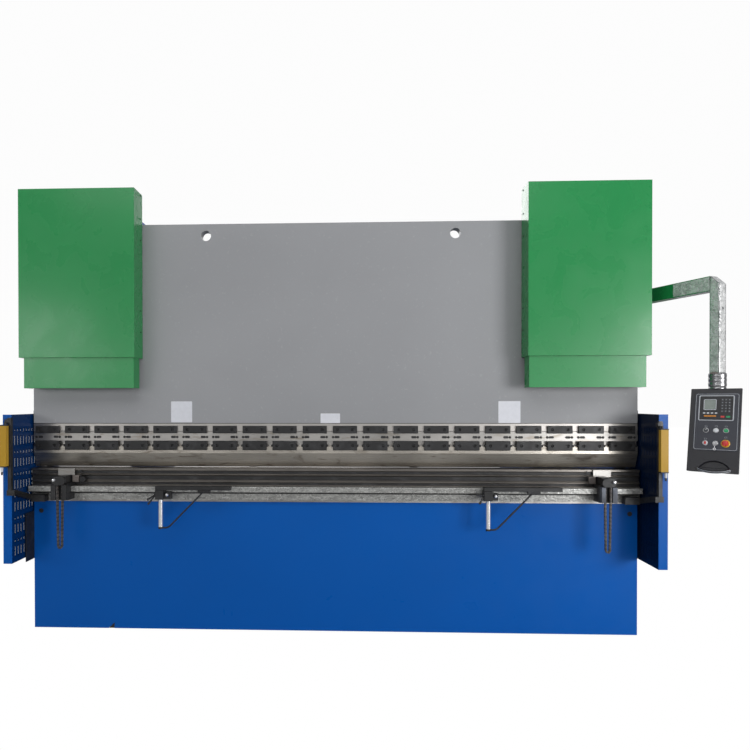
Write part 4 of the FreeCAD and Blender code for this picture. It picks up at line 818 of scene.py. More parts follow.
def chain_device(word, side):
    """Chain, sprocket, body, cheeks, cover and shiny locking knob on the front rail; the right cheeks
    are lighter grey as painted light.
    """
    center_x, middle_y, wheel_z = roller_chain(word)
    sprocket(word, center_x, middle_y, wheel_z)
    node = word + "_chain_bracket"
    low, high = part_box(node)
    ledge, shoulder = low.y + 0.036, 0.990
    body = Build().box((center_x - side * 0.044, ledge, low.z),
                       (center_x + side * 0.057, high.y, shoulder))
    body.box((center_x - 0.029, ledge, shoulder), (center_x + 0.029, high.y, high.z))
    body.finish(word + "_device_body", black_steel, "root", 0.002, [node])
    cheeks = Build()
    for near, far in ((0.017, 0.043), (-0.025, -0.056)):
        cheeks.box((center_x - side * near, low.y + 0.006, 0.885),
                   (center_x - side * far, ledge, 0.984))
    # the right device's cheeks take a lighter grey than the left's black: painted light from the right
    surface = lit_cheek_grey if side > 0 else black_steel
    cheeks.finish(word + "_device_cheeks", surface, "root", 0.002)
    cover = Build().prism(stadium(0.088, 0.054, 10), 0.007,
                          facing(center_x + side * 0.003, low.y + 0.008, wheel_z + 0.001))
    cover.rod((center_x, low.y + 0.006, wheel_z), (center_x, ledge, wheel_z), 0.0075, 20)
    cover.finish(word + "_device_cover", black_steel, "root", 0.0015)
    profile = [(0.0, 0.0), (0.009, 0.0), (0.0105, 0.002), (0.0105, 0.010), (0.008, 0.014),
               (0.004, 0.0155), (0.0, 0.016)]
    place = facing(center_x + side * 0.030, low.y + 0.0015, wheel_z + 0.008)
    Build().lathe(profile, place, 28).finish(word + "_chain_knob", chrome, "root")


def rod_bend(start, corner, end, radius, steps=8):
    """Points along two straight runs joined by a round bend."""
    start, corner, end = Vector(start), Vector(corner), Vector(end)
    one = corner + (start - corner).normalized() * radius
    two = corner + (end - corner).normalized() * radius
    points = [start, start.lerp(one, 0.5)]
    for step in range(steps + 1):
        share = step / steps
        points.append(one.lerp(corner, share).lerp(corner.lerp(two, share), share))
    return points + [two.lerp(end, 0.5), end]


def sheet_support(word):
    """One swivelling sheet support: bar, chromed column, bent strut and its clamp block."""
    arm = word + "_support_arm"
    carriage = word + "_support_carriage"
    arm_low, arm_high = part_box(arm)
    block_low, block_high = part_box(carriage)
    body, ride = word + "_support", word + "_carriage"
    column_x = arm_low.x + 0.030
    column_y = (arm_low.y + arm_high.y) / 2.0
    bar_bottom = arm_high.z - 0.025
    level = arm_low.z + 0.006
    bar = Build().box((arm_low.x, arm_low.y, bar_bottom), arm_high)
    bar.box((column_x + 0.245, column_y - 0.014, bar_bottom - 0.014),
            (column_x + 0.325, column_y + 0.014, bar_bottom))
    bar.finish(word + "_support_bar", black_steel, body, 0.002, [arm])
    Build().rod((column_x, column_y, arm_low.z + 0.012), (column_x, column_y, bar_bottom), 0.0145,
                36).finish(word + "_support_column", chrome, body, 0.0008)
    line = rod_bend((column_x, column_y, level), (column_x + 0.050, column_y, level),
                    (column_x + 0.283, column_y, bar_bottom - 0.008), 0.022)
    strut = Build().tube(line, 0.0055, 14)
    strut.rod((column_x, column_y, arm_low.z), (column_x, column_y, arm_low.z + 0.013), 0.0150, 28)
    strut.rod((column_x, column_y - 0.012, level), (column_x, column_y - 0.017, level), 0.006, 6)
    strut.finish(word + "_support_strut", black_steel, body)
    rail_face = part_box("front_guide_rail")[0].y
    lug, seat = column_x + 0.024, rail_face - 0.0003
    block = Build().box(block_low, (lug, seat, block_high.z))
    block.box((lug - 0.004, block_low.y + 0.030, block_low.z),
              (block_high.x, seat, block_high.z - 0.015))
    block.finish(word + "_support_block", black_steel, ride, 0.0025, [carriage])
    Build().box((block_low.x + 0.002, rail_face - 0.004, 0.9455),
                (lug - 0.002, rail_face + 0.0076, 0.9525)).finish(
                    word + "_support_key", bolt_steel, ride, 0.0006)
    profile = [(0.0, 0.0), (0.005, 0.0), (0.005, 0.010), (0.009, 0.012), (0.010, 0.018),
               (0.007, 0.023), (0.0, 0.024)]
    place = facing(column_x + 0.045, block_low.y + 0.030, 0.922)
    Build().lathe(profile, place, 24).finish(word + "_support_knob", chrome, ride)
    levers = Build()
    root = Vector((block_low.x + 0.004, block_low.y + 0.016, 0.928))
    if word == "left":
        ends = [Vector((-0.052, -0.006, -0.036)), Vector((-0.046, -0.012, -0.062))]
    else:
        ends = [Vector((-0.046, -0.004, 0.004)), Vector((-0.030, -0.012, -0.048))]
    for reach in ends:
        levers.rod(root, root + reach, 0.0045, 14, 0.0060)
        levers.lathe([(0.0, -0.008), (0.006, -0.006), (0.008, 0.0), (0.006, 0.006), (0.0, 0.008)],
                     aimed(root + reach, reach), 16)
    levers.lathe([(0.0, -0.012), (0.010, -0.012), (0.012, -0.008), (0.012, 0.010), (0.0, 0.012)],
                 aimed(root, -X_AXIS), 24)
    levers.finish(word + "_support_levers", black_steel, ride)


def light_curtain(word, side):
    """Safety light curtain: ribbed yellow housing, dark lens strip, caps, bracket, cable plug and
    gland.
    """
    node = word + "_light_curtain"
    low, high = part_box(node)
    bottom = high.z - CURTAIN_HEIGHT
    low.x -= 0.004 if side > 0 else 0.0
    high.x = low.x + CURTAIN_WIDTH
    half = CURTAIN_WIDTH / 2.0
    edge = [(half, 0.0), (half, 0.006), (half - 0.003, 0.008), (half - 0.003, 0.013),
            (half, 0.015), (half, high.y - low.y)]
    outline = [(-x, y) for x, y in edge] + edge[::-1]
    body = Build().prism(outline, high.z - bottom - 0.012,
                         moved(low.x + half, low.y, bottom + 0.006))
    body.finish(word + "_curtain_housing", yellow_paint, "root", 0.001, [node])
    caps = Build()
    for base in (bottom, high.z - 0.007):
        caps.box((low.x - 0.001, low.y - 0.0005, base),
                 (high.x + 0.001, high.y + 0.001, base + 0.007))
    inner, outer = (low.x, high.x) if side > 0 else (high.x, low.x)
    lens_x = outer + side * 0.0004
    caps.box((lens_x, low.y + 0.004, bottom + 0.012),
             (lens_x - side * 0.004, high.y - 0.004, high.z - 0.012))
    caps.finish(word + "_curtain_caps", cable_rubber, "root", 0.0012)
    post_x = inner + side * 0.010
    bracket = Build().box((post_x - 0.016, high.y - 0.002, high.z + 0.008),
                          (post_x + 0.016, high.y + 0.024, high.z + 0.034))
    bracket.rod((post_x - 0.010, high.y - 0.004, high.z + 0.018),
                (post_x - 0.010, high.y + 0.004, high.z + 0.018), 0.006, 18)
    bracket.rod((post_x, low.y + 0.010, high.z - 0.001), (post_x, low.y + 0.010, high.z + 0.016),
                0.008, 20)
    bracket.finish(word + "_curtain_bracket", black_steel, "root", 0.0015)
    plug = [(0.0, 0.0), (0.0085, 0.0), (0.0085, -0.012), (0.0075, -0.013), (0.0075, -0.024),
            (0.0060, -0.030), (0.0, -0.030)]
    gland = [(0.0, 0.0), (0.0055, 0.0), (0.0060, -0.008), (0.0045, -0.010), (0.0055, -0.014),
             (0.0040, -0.020), (0.0, -0.020)]
    for name, surface, profile, drop, segments in (
            ("_curtain_plug", button_white, plug, 0.0, 24),
            ("_curtain_gland", cable_rubber, gland, 0.0295, 20)):
        place = moved(inner + side * 0.036, (low.y + high.y) / 2.0, bottom - drop)
        Build().lathe(profile, place, segments).finish(word + name, surface, "root")


def joint_at(name):
    return next(joint for joint in frame["joints"] if joint["name"] == name)["pos_m"]


def console_top():
    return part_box("pendant_box")[1].z - NECK_HEIGHT


def console_place():
    """The console's own frame: its axis at the origin, its front towards -Y."""
    x, y, _ = joint_at("pendant_head_swivel")
    return moved(x, y, 0.0) @ Matrix.Rotation(BOX_TURN, 4, "Z")


def front_place():
    """The sloping front: X across, Z up the slope, -Y out of it, from the top edge's middle."""
    slope = math.atan2(BOX_FOOT_FRONT - BOX_TOP_FRONT, BOX_HEIGHT - BOX_FOOT_DEPTH)
    return (console_place() @ moved(0.0, -BOX_TOP_FRONT, console_top())
            @ Matrix.Rotation(-slope, 4, "X"))


def on_panel(x, drop, lift=0.0):
    """A placing on the panel's face that looks out of it."""
    return front_place() @ facing(x, -PANEL_THICK - lift, -drop)


def handle_chord():
    """Height of the handle's top face on the slope, measured from the front's top edge."""
    return HANDLE_RISE - math.hypot(BOX_FOOT_FRONT - BOX_TOP_FRONT, BOX_HEIGHT - BOX_FOOT_DEPTH)


def arc_points(half, rise, steps):
    """Points of a circular arc over a chord of the given half width."""
    radius = (half * half + rise * rise) / (2.0 * rise)
    reach = math.asin(half / radius)
    return [(radius * math.sin(reach * (2.0 * step / steps - 1.0)),
             radius * math.cos(reach * (2.0 * step / steps - 1.0)) - radius + rise)
            for step in range(steps + 1)]


def console_shell():
    """Wedge-shaped console with soft edges and the finger pocket behind its handle."""
    place = console_place()
    top = console_top()
    floor = top - BOX_HEIGHT + BOX_FOOT_DEPTH
    outline = [(BOX_BACK, top), (-BOX_TOP_FRONT, top), (-BOX_FOOT_FRONT, floor),
               (-BOX_FOOT_FRONT + BOX_FOOT_DEPTH, floor - 0.006), (BOX_BACK, floor - 0.006)]
    shell = Build().prism(outline, BOX_WIDTH, SIDEWAYS, lift=-BOX_WIDTH / 2.0)
    slope = place.inverted() @ front_place()
    pocket = Build().prism(arc_points(POCKET_HALF, POCKET_HEIGHT, 20), 0.050,
                           slope @ facing(HANDLE_SIDE, POCKET_DEPTH, handle_chord()))
    mesh = cut_mesh("console_shell", shell, pocket)
    lean = (BOX_FOOT_FRONT - BOX_TOP_FRONT) / (BOX_HEIGHT - BOX_FOOT_DEPTH)
    for vertex in mesh.vertices:
        front = -BOX_TOP_FRONT - lean * (top - vertex.co.z)
        share = max(0.0, (vertex.co.y - front) / (BOX_BACK - front))
        vertex.co.x *= 1.0 - share * BOX_TAPER * 2.0 / BOX_WIDTH
    mesh.transform(place)
    place_piece("console_shell", mesh, console_black, HEAD, 0.004, ["pendant_box"], 30.0)
    profile = [(0.0, 0.0), (COLLAR_RADIUS, 0.0), (COLLAR_RADIUS, 0.006),
               (COLLAR_RADIUS - 0.002, 0.010), (0.0, 0.010)]
    Build().lathe(profile, place @ moved(0.0, 0.0, top), 40).finish("console_neck", stainless, HEAD)


def console_handle():
    """Bowed flat grip that dips to the front, with light lines along its edges as painted highlights,
    over the pocket.
    """
    tilt = moved(HANDLE_SIDE, 0.0, handle_chord()) @ Matrix.Rotation(math.radians(HANDLE_TILT),
                                                                     4, "X")
    place = front_place() @ tilt @ aimed((0.0, 0.0, 0.0), -Z_AXIS, -Y_AXIS)
    outer = arc_points(HANDLE_HALF, HANDLE_REACH, 32)
    inner = arc_points(HANDLE_HALF - HANDLE_THICK, HANDLE_REACH - HANDLE_THICK, 32)
    grip = Build().prism(outer + inner[::-1], HANDLE_HEIGHT, place)
    grip.finish("console_grip", console_black, HEAD, 0.0022, ["pendant_handle"])
    # pale lines along the grip's edges: painted highlights
    edges = Build()
    for points, lift in ((outer, 0.0016), (outer, HANDLE_HEIGHT - 0.0016)):
        edges.tube([place @ Vector((x, y - 0.0002, lift)) for x, y in points[2:-2]], 0.0016, 8)
    edges.finish("console_grip_highlights", trim_grey, HEAD)


def panel_pads(name, surface, outline, depth, spots, lift=0.0, bevel=0.0, replaces=()):
    """One piece of equal flat shapes, one at each (x, drop) on the panel."""
    pads = Build()
    for x, drop in spots:
        pads.prism(outline, depth, on_panel(x, drop, lift))
    pads.finish(name, surface, HEAD, bevel, replaces)


def panel_frame(name, outer, inner, depth, spot, lift=0.0, bevel=0.0):
    """A pale frame between two rounded rectangles, each (width, height, radius)."""
    frame_ring = Build().ring(rounded_rectangle(*outer), rounded_rectangle(*inner), depth,
                              on_panel(*spot, lift))
    frame_ring.finish(name, trim_grey, HEAD, bevel)


def panel_plate():
    """Slate panel with a pale printed border."""
    spot = (PANEL_SIDE, PANEL_DROP + PANEL_HEIGHT / 2.0)
    panel_pads("panel_plate", panel_slate, rounded_rectangle(PANEL_WIDTH, PANEL_HEIGHT, 0.012),
               PANEL_THICK, [spot], -PANEL_THICK, 0.0006, ["control_panel"])
    panel_frame("panel_border", (PANEL_WIDTH - 0.010, PANEL_HEIGHT - 0.010, 0.010),
                (PANEL_WIDTH - 0.0136, PANEL_HEIGHT - 0.0136, 0.0085), 0.0004, spot)


def panel_display():
    """Display unit: pale bezel, dark face, liquid crystal window and its keys."""
    width, height = 0.172, 0.151
    unit, window = (0.0055, 0.1175), (-0.025, 0.098)
    panel_frame("display_bezel", (width, height, 0.008), (width - 0.010, height - 0.010, 0.005),
                0.0035, unit, bevel=0.0006)
    panel_pads("display_face", display_black,
               rounded_rectangle(width - 0.0098, height - 0.0098, 0.005), DISPLAY_FACE, [unit])
    panel_pads("display_window", lcd_window, rounded_rectangle(0.055, 0.056, 0.004), 0.0012,
               [window], DISPLAY_FACE)
    panel_frame("display_rim", (0.063, 0.064, 0.006), (0.0555, 0.0565, 0.004), 0.0022, window,
                DISPLAY_FACE, 0.0005)
    pitch, key_depth = 0.0170, 0.0016
    keys = [(0.035 + pitch * column, 0.0685 + pitch * row) for row in range(5)
            for column in range(3)]
    panel_pads("display_keypad", key_dark, rounded_rectangle(0.0115, 0.0115, 0.0025), key_depth,
               keys, DISPLAY_FACE, 0.0003)
    panel_pads("keypad_marks", trim_grey, circle(0.0017, 8), 0.0003, keys,
               DISPLAY_FACE + key_depth)
    spacing = 0.0195
    panel_pads("display_soft_keys", button_white, rounded_rectangle(0.0115, 0.0075, 0.002),
               key_depth, [(-0.0525 + spacing * i, 0.1480) for i in range(4)], DISPLAY_FACE, 0.0003)
    panel_pads("display_orange_keys", key_orange, rounded_rectangle(0.0215, 0.0090, 0.0035),
               0.0018, [(-0.043 + spacing * i, 0.1656) for i in range(3)], DISPLAY_FACE, 0.0003)
    for name, x, surface in (("display_red_key", 0.038, button_red),
                             ("display_green_key", 0.065, button_green)):
        panel_pads(name, surface, rounded_rectangle(0.019, 0.0105, 0.0025), 0.0018,
                   [(x, 0.1690)], DISPLAY_FACE, 0.0003)


BUTTON_PROFILE = [(0.0, 0.0), (0.0115, 0.0), (0.0115, 0.006), (0.0100, 0.0085), (0.0, 0.0090)]


def panel_controls():
    """Selector, lamps, key switch and mushroom stop in two rows of three."""
    first, second = 0.250, 0.325
    left, middle, right = -0.039, 0.010, 0.058
    collars = Build()
    for x, drop in ((left, first), (middle, first), (right, first), (left, second),
                    (middle, second)):
        collars.ring(circle(0.0142, 32), circle(0.0116, 32), 0.0040, on_panel(x, drop))
    collars.finish("control_collars", bolt_steel, HEAD, 0.0006, ["panel_buttons"])
    lock = [(0.0, 0.0), (0.0115, 0.0), (0.0115, 0.007), (0.0095, 0.009), (0.0, 0.009)]
    ring = [(0.0, 0.0), (0.0220, 0.0), (0.0220, 0.0025), (0.0198, 0.0045), (0.0, 0.0045)]
    stop = [(0.0, 0.0040), (0.0110, 0.0040), (0.0110, 0.0080), (0.0158, 0.0088),
            (0.0166, 0.0112), (0.0150, 0.0140), (0.0090, 0.0155), (0.0, 0.0158)]
    for name, surface, x, drop, profile, segments in (
            ("white_button", button_white, middle, first, BUTTON_PROFILE, 32),
            ("green_button", button_green, right, first, BUTTON_PROFILE, 32),
            ("lamp_button", button_white, left, second, BUTTON_PROFILE, 32),
            ("key_switch", bolt_steel, middle, second, lock, 32),
            ("stop_ring", button_yellow, right, second, ring, 40),
            ("stop_cap", button_red, right, second, stop, 40)):
        Build().lathe(profile, on_panel(x, drop), segments).finish(name, surface, HEAD)
    panel_pads("lamp_red_bar", button_red, rounded_rectangle(0.010, 0.017, 0.003), 0.0022,
               [(left, second)], 0.0088, 0.0006)
    lever = on_panel(left, first, 0.008) @ Matrix.Rotation(math.radians(38.0), 4, "Z")
    selector = Build().lathe(BUTTON_PROFILE, on_panel(left, first), 32)
    selector.prism(stadium(0.022, 0.0065), 0.0080, lever)
    selector.finish("selector_switch", key_dark, HEAD, 0.0006)
    mark = Build().prism(stadium(0.010, 0.0018), 0.0004, lever @ moved(0.004, 0.0, 0.0080))
    mark.finish("selector_mark", button_white, HEAD)
    place = on_panel(middle, second, 0.009)
    keys = Build().box((-0.0012, -0.0040, 0.0), (0.0012, 0.0040, 0.008), place)
    keys.box((-0.0010, -0.0300, 0.0100), (0.0010, -0.0180, 0.0125), place)
    for outer, inner, depth, at in ((0.0095, 0.0055, 0.0018, aimed((0.0009, 0.0, 0.0155), -X_AXIS)),
                                    (0.0068, 0.0056, 0.0011, moved(0.0, -0.0125, 0.0110)),
                                    (0.0075, 0.0035, 0.0016, moved(0.0, -0.0370, 0.0105))):
        keys.ring(circle(outer, 20), circle(inner, 20), depth, place @ at)
    keys.finish("hanging_keys", bolt_steel, HEAD)
    plates = Build()
    for x, drop in ((left, first), (middle, first), (right, first), (left, second),
                    (right, second - 0.011)):
        plates.ring(rounded_rectangle(0.0120, 0.0080, 0.0012, 3),
                    rounded_rectangle(0.0106, 0.0066, 0.0008, 3), 0.0003,
                    on_panel(x, drop - 0.0245))
    plates.finish("legend_frames", trim_grey, HEAD)


def collar_stack():
    """Stainless swivel collar of three faint rings."""
    low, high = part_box("pendant_collar")
    height = high.z - low.z
    profile = [(0.0, 0.0)]
    for ring in range(3):
        for step in range(9):
            angle = math.pi * step / 8.0
            profile.append((COLLAR_RADIUS + COLLAR_SWELL * math.sin(angle) ** 0.7,
                            height * (ring + 0.04 + 0.92 * step / 8.0) / 3.0))
    profile.append((0.0, height))
    place = console_place() @ moved(0.0, 0.0, low.z)
    Build().lathe(profile, place, 48).finish("swivel_collar", stainless, "pendant_arm",
                                             replaces=["pendant_collar"], angle=50.0)


def film_sleeve(name, rings, cells=34.0):
    """A film skin through rings of points, pushed in and out into creases."""
    sleeve = Build()
    rows = []
    for ring in rings:
        middle = sum(ring, Vector()) / len(ring)
        row = []
        for point in ring:
            fold = noise.noise(point * cells) + 0.6 * noise.noise(point * cells * 2.3)
            out = (point - middle).normalized()
            row.append(sleeve.mesh.verts.new(point + out * (FILM_CREASE * (0.55 + fold))))
        rows.append(row)
    sleeve.skin(rows).finish(name, arm_film, "pendant_arm", angle=180.0)


def square_ring(center, across, up, half_across, half_up, per_side=14):
    """Points round a rectangle with slightly eased corners."""
    points = rounded_rectangle(2.0 * half_across, 2.0 * half_up, 0.006, 2)
    outline = []
    corner = len(points) // 4
    for i, point in enumerate(points):
        after = points[(i + 1) % len(points)]
        pieces = per_side if i % corner == corner - 1 else 1
        outline += [between(point, after, k / pieces) for k in range(pieces)]
    return [Vector(center) + across * x + up * y for x, y in outline]


def pendant_film():
    """Crinkled packing film on the outer arm and down the drop tube."""
    pivot, elbow = Vector(joint_at("pendant_arm_swing")), Vector(joint_at("pendant_head_swivel"))
    along = Vector((math.cos(ARM_TURN), math.sin(ARM_TURN), 0.0))
    across = Vector((-along.y, along.x, 0.0))
    arm_low, arm_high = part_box("pendant_arm")
    half_up = (arm_high.z - arm_low.z) / 2.0
    length = (elbow.xy - pivot.xy).length
    start, stop = 0.245, length - 0.027
    pivot.z = arm_low.z + half_up
    steps = 56
    film_sleeve("arm_film_sleeve", [
        square_ring(pivot + along * (start + (stop - start) * step / steps), across, Z_AXIS,
                    0.0302, half_up + 0.0002) for step in range(steps + 1)])
    low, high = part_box("pendant_tube")
    rings = []
    steps = 90
    half = TUBE_HALF + SLEEVE_GAP
    for step in range(steps + 1):
        elbow.z = low.z + 0.004 + (high.z - 0.006 - low.z) * step / steps
        cut = max(0.0, elbow.z - high.z + TUBE_BEVEL) / 2.0
        rings.append(square_ring(elbow - along * cut, along, across, half - cut, half))
    film_sleeve("tube_film_sleeve", rings, 22.0)
    place = console_place() @ facing(-0.010, -COLLAR_RADIUS, low.z - 0.004)
    Build().prism(arc_points(0.024, 0.013, 12), 0.003, place).finish(
        "collar_tab", chain_steel, "pendant_arm", 0.0006)


def rail_wrap():
    """Crinkled film over the front rail and on the table rail's face below it, with a black strip of
    painted shadow between the two.
    """
    low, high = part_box("front_guide_rail")
    bands = (("rail_film_upper", low.z + 0.0010, high.z + 0.0003, low.y - 0.00002, True),
             ("rail_film_lower", TABLE_FILM_BOTTOM, TABLE_FILM_TOP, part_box("table_rail")[0].y, False))
    inset, steps = 0.002, 900
    for name, bottom, top, face, over in bands:
        rings = []
        for step in range(steps + 1):
            x = low.x + inset + (high.x - low.x - 2.0 * inset) * step / steps
            ring = [Vector((x, face, bottom + (top - bottom) * k / 7.0)) for k in range(8)]
            if over:
                ring += [Vector((x, face + 0.006 * k, top)) for k in range(1, 8)]
            rings.append(ring)
        film_band(name, rings)
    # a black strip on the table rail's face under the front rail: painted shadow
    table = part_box("table_rail")[0].y
    gap = Build().box((low.x + inset, table - 0.0003, TABLE_FILM_TOP),
                      (high.x - inset, table, low.z - 0.0005))
    gap.finish("rail_painted_shadow", black_steel, "root")


def film_band(name, rings):
    """An open film strip whose creases only lift it a hair off the steel."""
    band = Build()
    rows = []
    for ring in rings:
        row = []
        for point in ring:
            stretched = Vector((point.x * 24.0, point.y * 55.0, point.z * 70.0))
            fold = abs(noise.noise(stretched)) + 0.5 * abs(noise.noise(stretched * 2.7))
            row.append(band.mesh.verts.new(point + Vector((0.0, -0.00022 * fold, 0.0002 * fold))))
        rows.append(row)
    band.skin(rows, closed=False).finish(name, rail_film, "root", angle=180.0)


def cover_details():
    """Screws on the covers' inner and outer sides."""
    heads = Build()
    head = socket_head(0.005, 0.003)
    for word, side in SIDES:
        low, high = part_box(word + "_cover")
        inner, outer = (low.x, high.x) if side > 0 else (high.x, low.x)
        heads.copies(head, [aimed((x + turn * SCREW_LIFT, COVER_SCREW_Y, z), X_AXIS * turn)
                            for z in COVER_SCREWS_Z
                            for x, turn in ((inner, -side), (outer, side))])
    heads.finish("cover_screws", black_steel, "root")


def die_details():
    """Small dark bolts and clamps beside the die's end plates, and dark strips in the grooves as
    painted shade.
    """
    groove_shades = Build()
    low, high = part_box("lower_die")
    # a dark strip back in each groove: painted shade
    for z, width in DIE_GROOVES:
        deep = width * (1.0 - GROOVE_ROOT) / 2.0
        half = width * GROOVE_ROOT / 2.0
        groove_shades.box((low.x + 0.001, low.y + deep, low.z + z - half),
                  (high.x - 0.001, low.y + deep + half * 0.8, low.z + z + half))
    groove_shades.finish("die_groove_shade", black_steel, "root")
    bolts, blocks = Build(), Build()
    face = low.y
    for side in (-1, 1):
        x = side * DIE_BOLT_X
        for z, radius, reach in DIE_BOLTS:
            bolts.rod((x, face + 0.002, z), (x, face - reach, z), radius, 20)
        blocks.box((x + side * 0.050, face - 0.020, 0.992), (x + side * 0.008, face, 1.036))
    bolts.rod((-1.640, face + 0.002, 1.010), (-1.640, face - 0.030, 1.010), 0.0190, 24)
    bolts.finish("die_end_bolts", black_steel, "root", bevel=0.0012)
    blocks.finish("die_end_blocks", chain_steel, "root", bevel=0.0015)


def guard_slots():
    """Middle and height of every slot on a guard, as a point in the sheet's own plane."""
    slots = []
    for column in range(SLOT_COLUMNS):
        y = SLOT_FIRST_Y - column * SLOT_COLUMN_PITCH
        wave = SLOT_WEB * math.sin(math.pi * column / (SLOT_COLUMNS - 1))
        for band in range(SLOT_BANDS):
            foot = GUARD_FOOT + SLOT_WEB * 2.0 + band * SLOT_BAND_PITCH
            split = foot + LONG_SLOT - wave / 2.0
            top = split + SLOT_WEB + SHORT_SLOT + wave / 2.0
            slots.append((y, (foot + split) / 2.0, split - foot))
            slots.append((y, (split + SLOT_WEB + top) / 2.0, top - split - SLOT_WEB))
    return slots


def guard_details():
    """The guards' screws, and dark sheets in the slots as painted shade: filling the right slots, and
    round a thin opening in the left ones.
    """
    for word, side in (("right", 1), ("left", -1)):
        low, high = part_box(word + "_guard")
        plane = low.x if side > 0 else high.x
        screws = Build()
        head = socket_head(0.006, 0.004)
        places = [aimed((plane - side * SCREW_LIFT, GUARD_SCREW_Y, z), X_AXIS * -side)
                  for z in GUARD_SCREWS_Z]
        screws.copies(head, places).finish(word + "_guard_screws", bolt_steel, word + "_guard")
        shade_sheets = Build()
        # a dark sheet in each slot: painted shade of the space behind the guard
        for y, z, height in guard_slots():
            place = aimed((side * (GUARD_PLANE + 0.0013), y, z), X_AXIS * side)
            outer = rounded_rectangle(SLOT_WIDTH - 0.0002, height - 0.0002, 0.0004, 1)
            if side > 0:
                shade_sheets.prism(outer, SLOT_SHADE_THICK, place)
            else:
                shade_sheets.ring(outer, rounded_rectangle(0.0030, height - 0.014, 0.0012, 1), SLOT_SHADE_THICK,
                          place)
        shade_sheets.finish(word + "_slot_shade", slot_shade_blue, word + "_guard")


def bed_fittings():
    """Black levelling wedge back in the bed's notch, and black discs back in its two holes as painted
    shade.
    """
    low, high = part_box("bed_plate")
    hole_shades = Build()
    # a black disc a little inside each hole: painted shade in the hole
    for side in (-1, 1):
        place = facing(side * (high.x - BED_HOLE_INSET), low.y + 0.0040, BED_HOLE_Z)
        hole_shades.prism(circle(BED_HOLE_RADIUS - 0.0003, 32), 0.0030, place)
    hole_shades.finish("bed_hole_shade", cable_rubber, "root")
    outline = [(-1.4905, 0.0005), (-1.4525, 0.0005), (-1.4525, 0.0385)]
    place = moved(0.0, low.y + 0.0290, 0.0) @ Matrix.Rotation(math.pi / 2.0, 4, "X")
    Build().prism(outline, 0.0270, place).finish("bed_wedge", cable_rubber, "root", bevel=0.0006)


def rear_details():
    """Motor cowl and box, tank fittings, valves and the cabinet's door furniture."""
    tank_low, tank_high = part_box("oil_tank")
    motor_x, motor_y = -0.420, (tank_low.y + tank_high.y) / 2.0
    deck = tank_high.z
    cowl = Build()
    cowl.lathe([(0.0, 0.0), (0.106, 0.0), (0.108, 0.004), (0.108, 0.036), (0.098, 0.048),
                (0.0, 0.050)], moved(motor_x, motor_y, deck + 0.213), 40)
    cowl.box((motor_x - 0.055, motor_y + 0.096, deck + 0.090),
             (motor_x + 0.055, motor_y + 0.158, deck + 0.180))
    cowl.finish("motor_cowl", machine_grey, "root", bevel=0.001)
    fittings = Build()
    fittings.lathe([(0.0, 0.0), (0.030, 0.0), (0.030, 0.030), (0.036, 0.034), (0.036, 0.060),
                    (0.030, 0.066), (0.0, 0.066)], moved(0.520, motor_y, deck), 36)
    for x in (-0.030, 0.030):
        fittings.rod((x, motor_y - 0.130, deck + 0.080), (x, motor_y - 0.235, deck + 0.080),
                     0.018, 24)
    fittings.finish("tank_fittings", stainless, "root", bevel=0.0008)
    valves = Build()
    base = tank_low.y + 0.110
    for x in (-0.045, 0.045):
        valves.box((x - 0.028, base - 0.050, deck + 0.160), (x + 0.028, base + 0.050,
                                                             deck + 0.205))
        for turn in (-1, 1):
            valves.rod((x, base + turn * 0.050, deck + 0.182),
                       (x, base + turn * 0.105, deck + 0.182), 0.020, 24)
    valves.finish("valve_stack", black_steel, "root", bevel=0.001)
    cab_low, cab_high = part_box("electrical_cabinet")
    door = Build()
    handle_y = cab_low.y + 0.060
    middle_z = (cab_low.z + cab_high.z) / 2.0
    door.box((cab_high.x, handle_y - 0.012, middle_z - 0.060),
             (cab_high.x + 0.006, handle_y + 0.012, middle_z + 0.060))
    door.box((cab_high.x + 0.006, handle_y - 0.008, middle_z - 0.050),
             (cab_high.x + 0.020, handle_y + 0.008, middle_z + 0.050))
    for z in (cab_low.z + 0.180, cab_high.z - 0.180):
        door.rod((cab_high.x - 0.004, cab_high.y - 0.010, z - 0.030),
                 (cab_high.x - 0.004, cab_high.y - 0.010, z + 0.030), 0.009, 20)
    door.finish("cabinet_furniture", black_steel, "root", bevel=0.001)


def camera():
    lens = bpy.data.cameras.new("photo_camera")
    lens.sensor_fit = "HORIZONTAL"
    lens.sensor_width = SENSOR
    lens.lens = SENSOR * FOCAL_PIXELS / PICTURE_PIXELS
    lens.shift_x = (PICTURE_PIXELS / 2.0 - PRINCIPAL_X) / PICTURE_PIXELS
    lens.shift_y = (PRINCIPAL_Y - PICTURE_PIXELS / 2.0) / PICTURE_PIXELS
    eye = bpy.data.objects.new("photo_camera", lens)
    eye.matrix_world = (Matrix.Translation(EYE) @ Matrix.Rotation(math.radians(YAW), 4, "Z")
                        @ Matrix.Rotation(math.radians(90.0 + PITCH), 4, "X")
                        @ Matrix.Rotation(math.radians(-ROLL), 4, "Z"))
    scene.collection.objects.link(eye)
    scene.camera = eye


def area_lamp(name, at, target, size, power, color=(1.0, 1.0, 1.0)):
    light = bpy.data.lights.new(name, "AREA")
    light.shape = "RECTANGLE"
    light.size, light.size_y = size
    light.energy = power
    light.color = color
    lamp = bpy.data.objects.new(name, light)
    lamp.matrix_world = aimed(at, Vector(at) - Vector(target))
    scene.collection.objects.link(lamp)


def pale_where_seen(tree, plain, pale, output):
    """The pale shader in full to the eye and in part in polished metal, else the plain one."""
    path = tree.nodes.new("ShaderNodeLightPath").outputs
    mirrored = computed(tree, "MULTIPLY_ADD", path["Is Glossy Ray"], GLOSS_SHARE,
                        path["Is Camera Ray"])
    share = computed(tree, "ADD", mirrored, path["Is Transmission Ray"])
    mix = joined(tree, "ShaderNodeMixShader", {"Fac": share, 1: plain, 2: pale})
    tree.links.new(mix.outputs["Shader"], tree.nodes[output].inputs["Surface"])


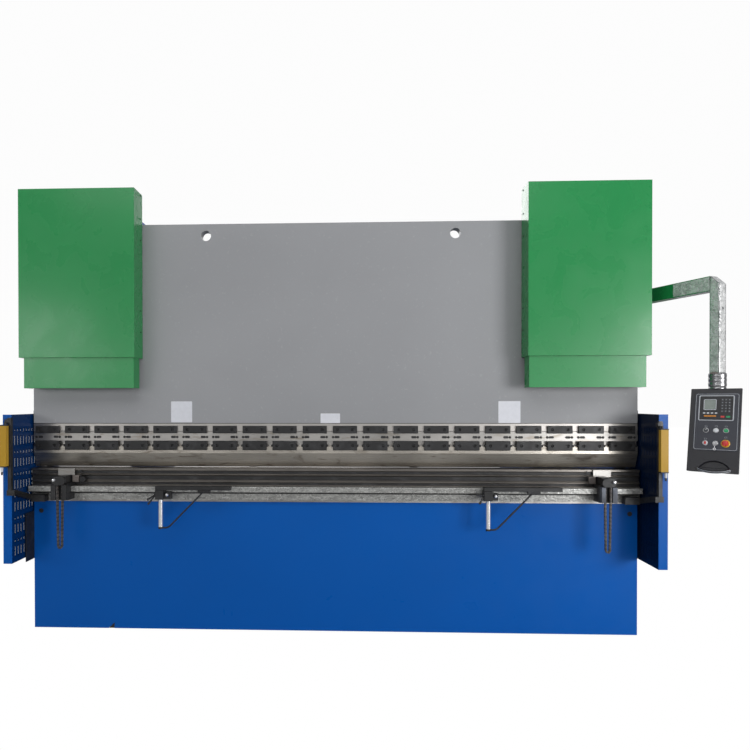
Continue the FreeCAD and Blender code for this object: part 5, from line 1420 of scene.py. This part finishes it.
def studio():
    """Pale floor, pale sky and soft lamps, the strongest from the front right."""
    slab = Build().box((-FLOOR_REACH, -FLOOR_REACH, -0.05), (FLOOR_REACH, FLOOR_REACH, 0.0))
    mesh = slab.data("studio_floor")
    ground = bpy.data.materials.new("studio_floor")
    ground.use_nodes = True
    tree = ground.node_tree
    shader = tree.nodes["Principled BSDF"]
    shader.inputs["Base Color"].default_value = (0.34, 0.34, 0.34, 1.0)
    shader.inputs["Roughness"].default_value = 0.9
    glow = joined(tree, "ShaderNodeEmission", {"Strength": 1.0})
    pale_where_seen(tree, shader.outputs["BSDF"], glow.outputs["Emission"], "Material Output")
    mesh.materials.append(ground)
    plane = bpy.data.objects.new("studio_floor", mesh)
    scene.collection.objects.link(plane)

    world = bpy.data.worlds.new("studio")
    world.use_nodes = True
    scene.world = world
    tree = world.node_tree
    back = tree.nodes["Background"]
    back.inputs["Color"].default_value = (0.93, 0.96, 1.0, 1.0)
    back.inputs["Strength"].default_value = 0.20
    seen = joined(tree, "ShaderNodeBackground", {"Color": (0.98, 0.98, 0.98, 1.0), "Strength": 1.0})
    pale_where_seen(tree, back.outputs["Background"], seen.outputs["Background"], "World Output")

    area_lamp("window_right", (6.9, -6.3, 1.6), (4.6, 0.0, 1.5), (3.4, 3.0), 430.0)
    area_lamp("door_right", (4.15, -6.0, 0.65), (1.66, -0.1, 1.1), (1.3, 1.0), 14.0)
    area_lamp("window_left", (-6.4, -6.3, 2.5), (-3.0, 0.0, 1.6), (3.4, 1.6), 72.0)
    area_lamp("front_wall", (0.0, -9.5, 2.1), (0.0, 0.0, 1.3), (13.0, 1.6), 100.0)
    area_lamp("ceiling", (-0.5, -4.4, 5.4), (0.0, 0.0, 1.3), (7.0, 2.6), 110.0)
    area_lamp("rear_fill", (-2.0, 7.0, 4.5), (0.0, 0.5, 1.2), (5.0, 3.0), 180.0)


def main():
    dress_nodes()
    camera()
    clamp_details()
    ram_details()
    for word, side in SIDES:
        chain_device(word, side)
        light_curtain(word, side)
    for word, _ in SIDES:
        sheet_support(word)
    console_shell()
    console_handle()
    panel_plate()
    panel_display()
    panel_controls()
    collar_stack()
    pendant_film()
    rail_wrap()
    cover_details()
    die_details()
    guard_details()
    bed_fittings()
    rear_details()
    studio()
    scene.view_settings.view_transform = "Standard"


main()
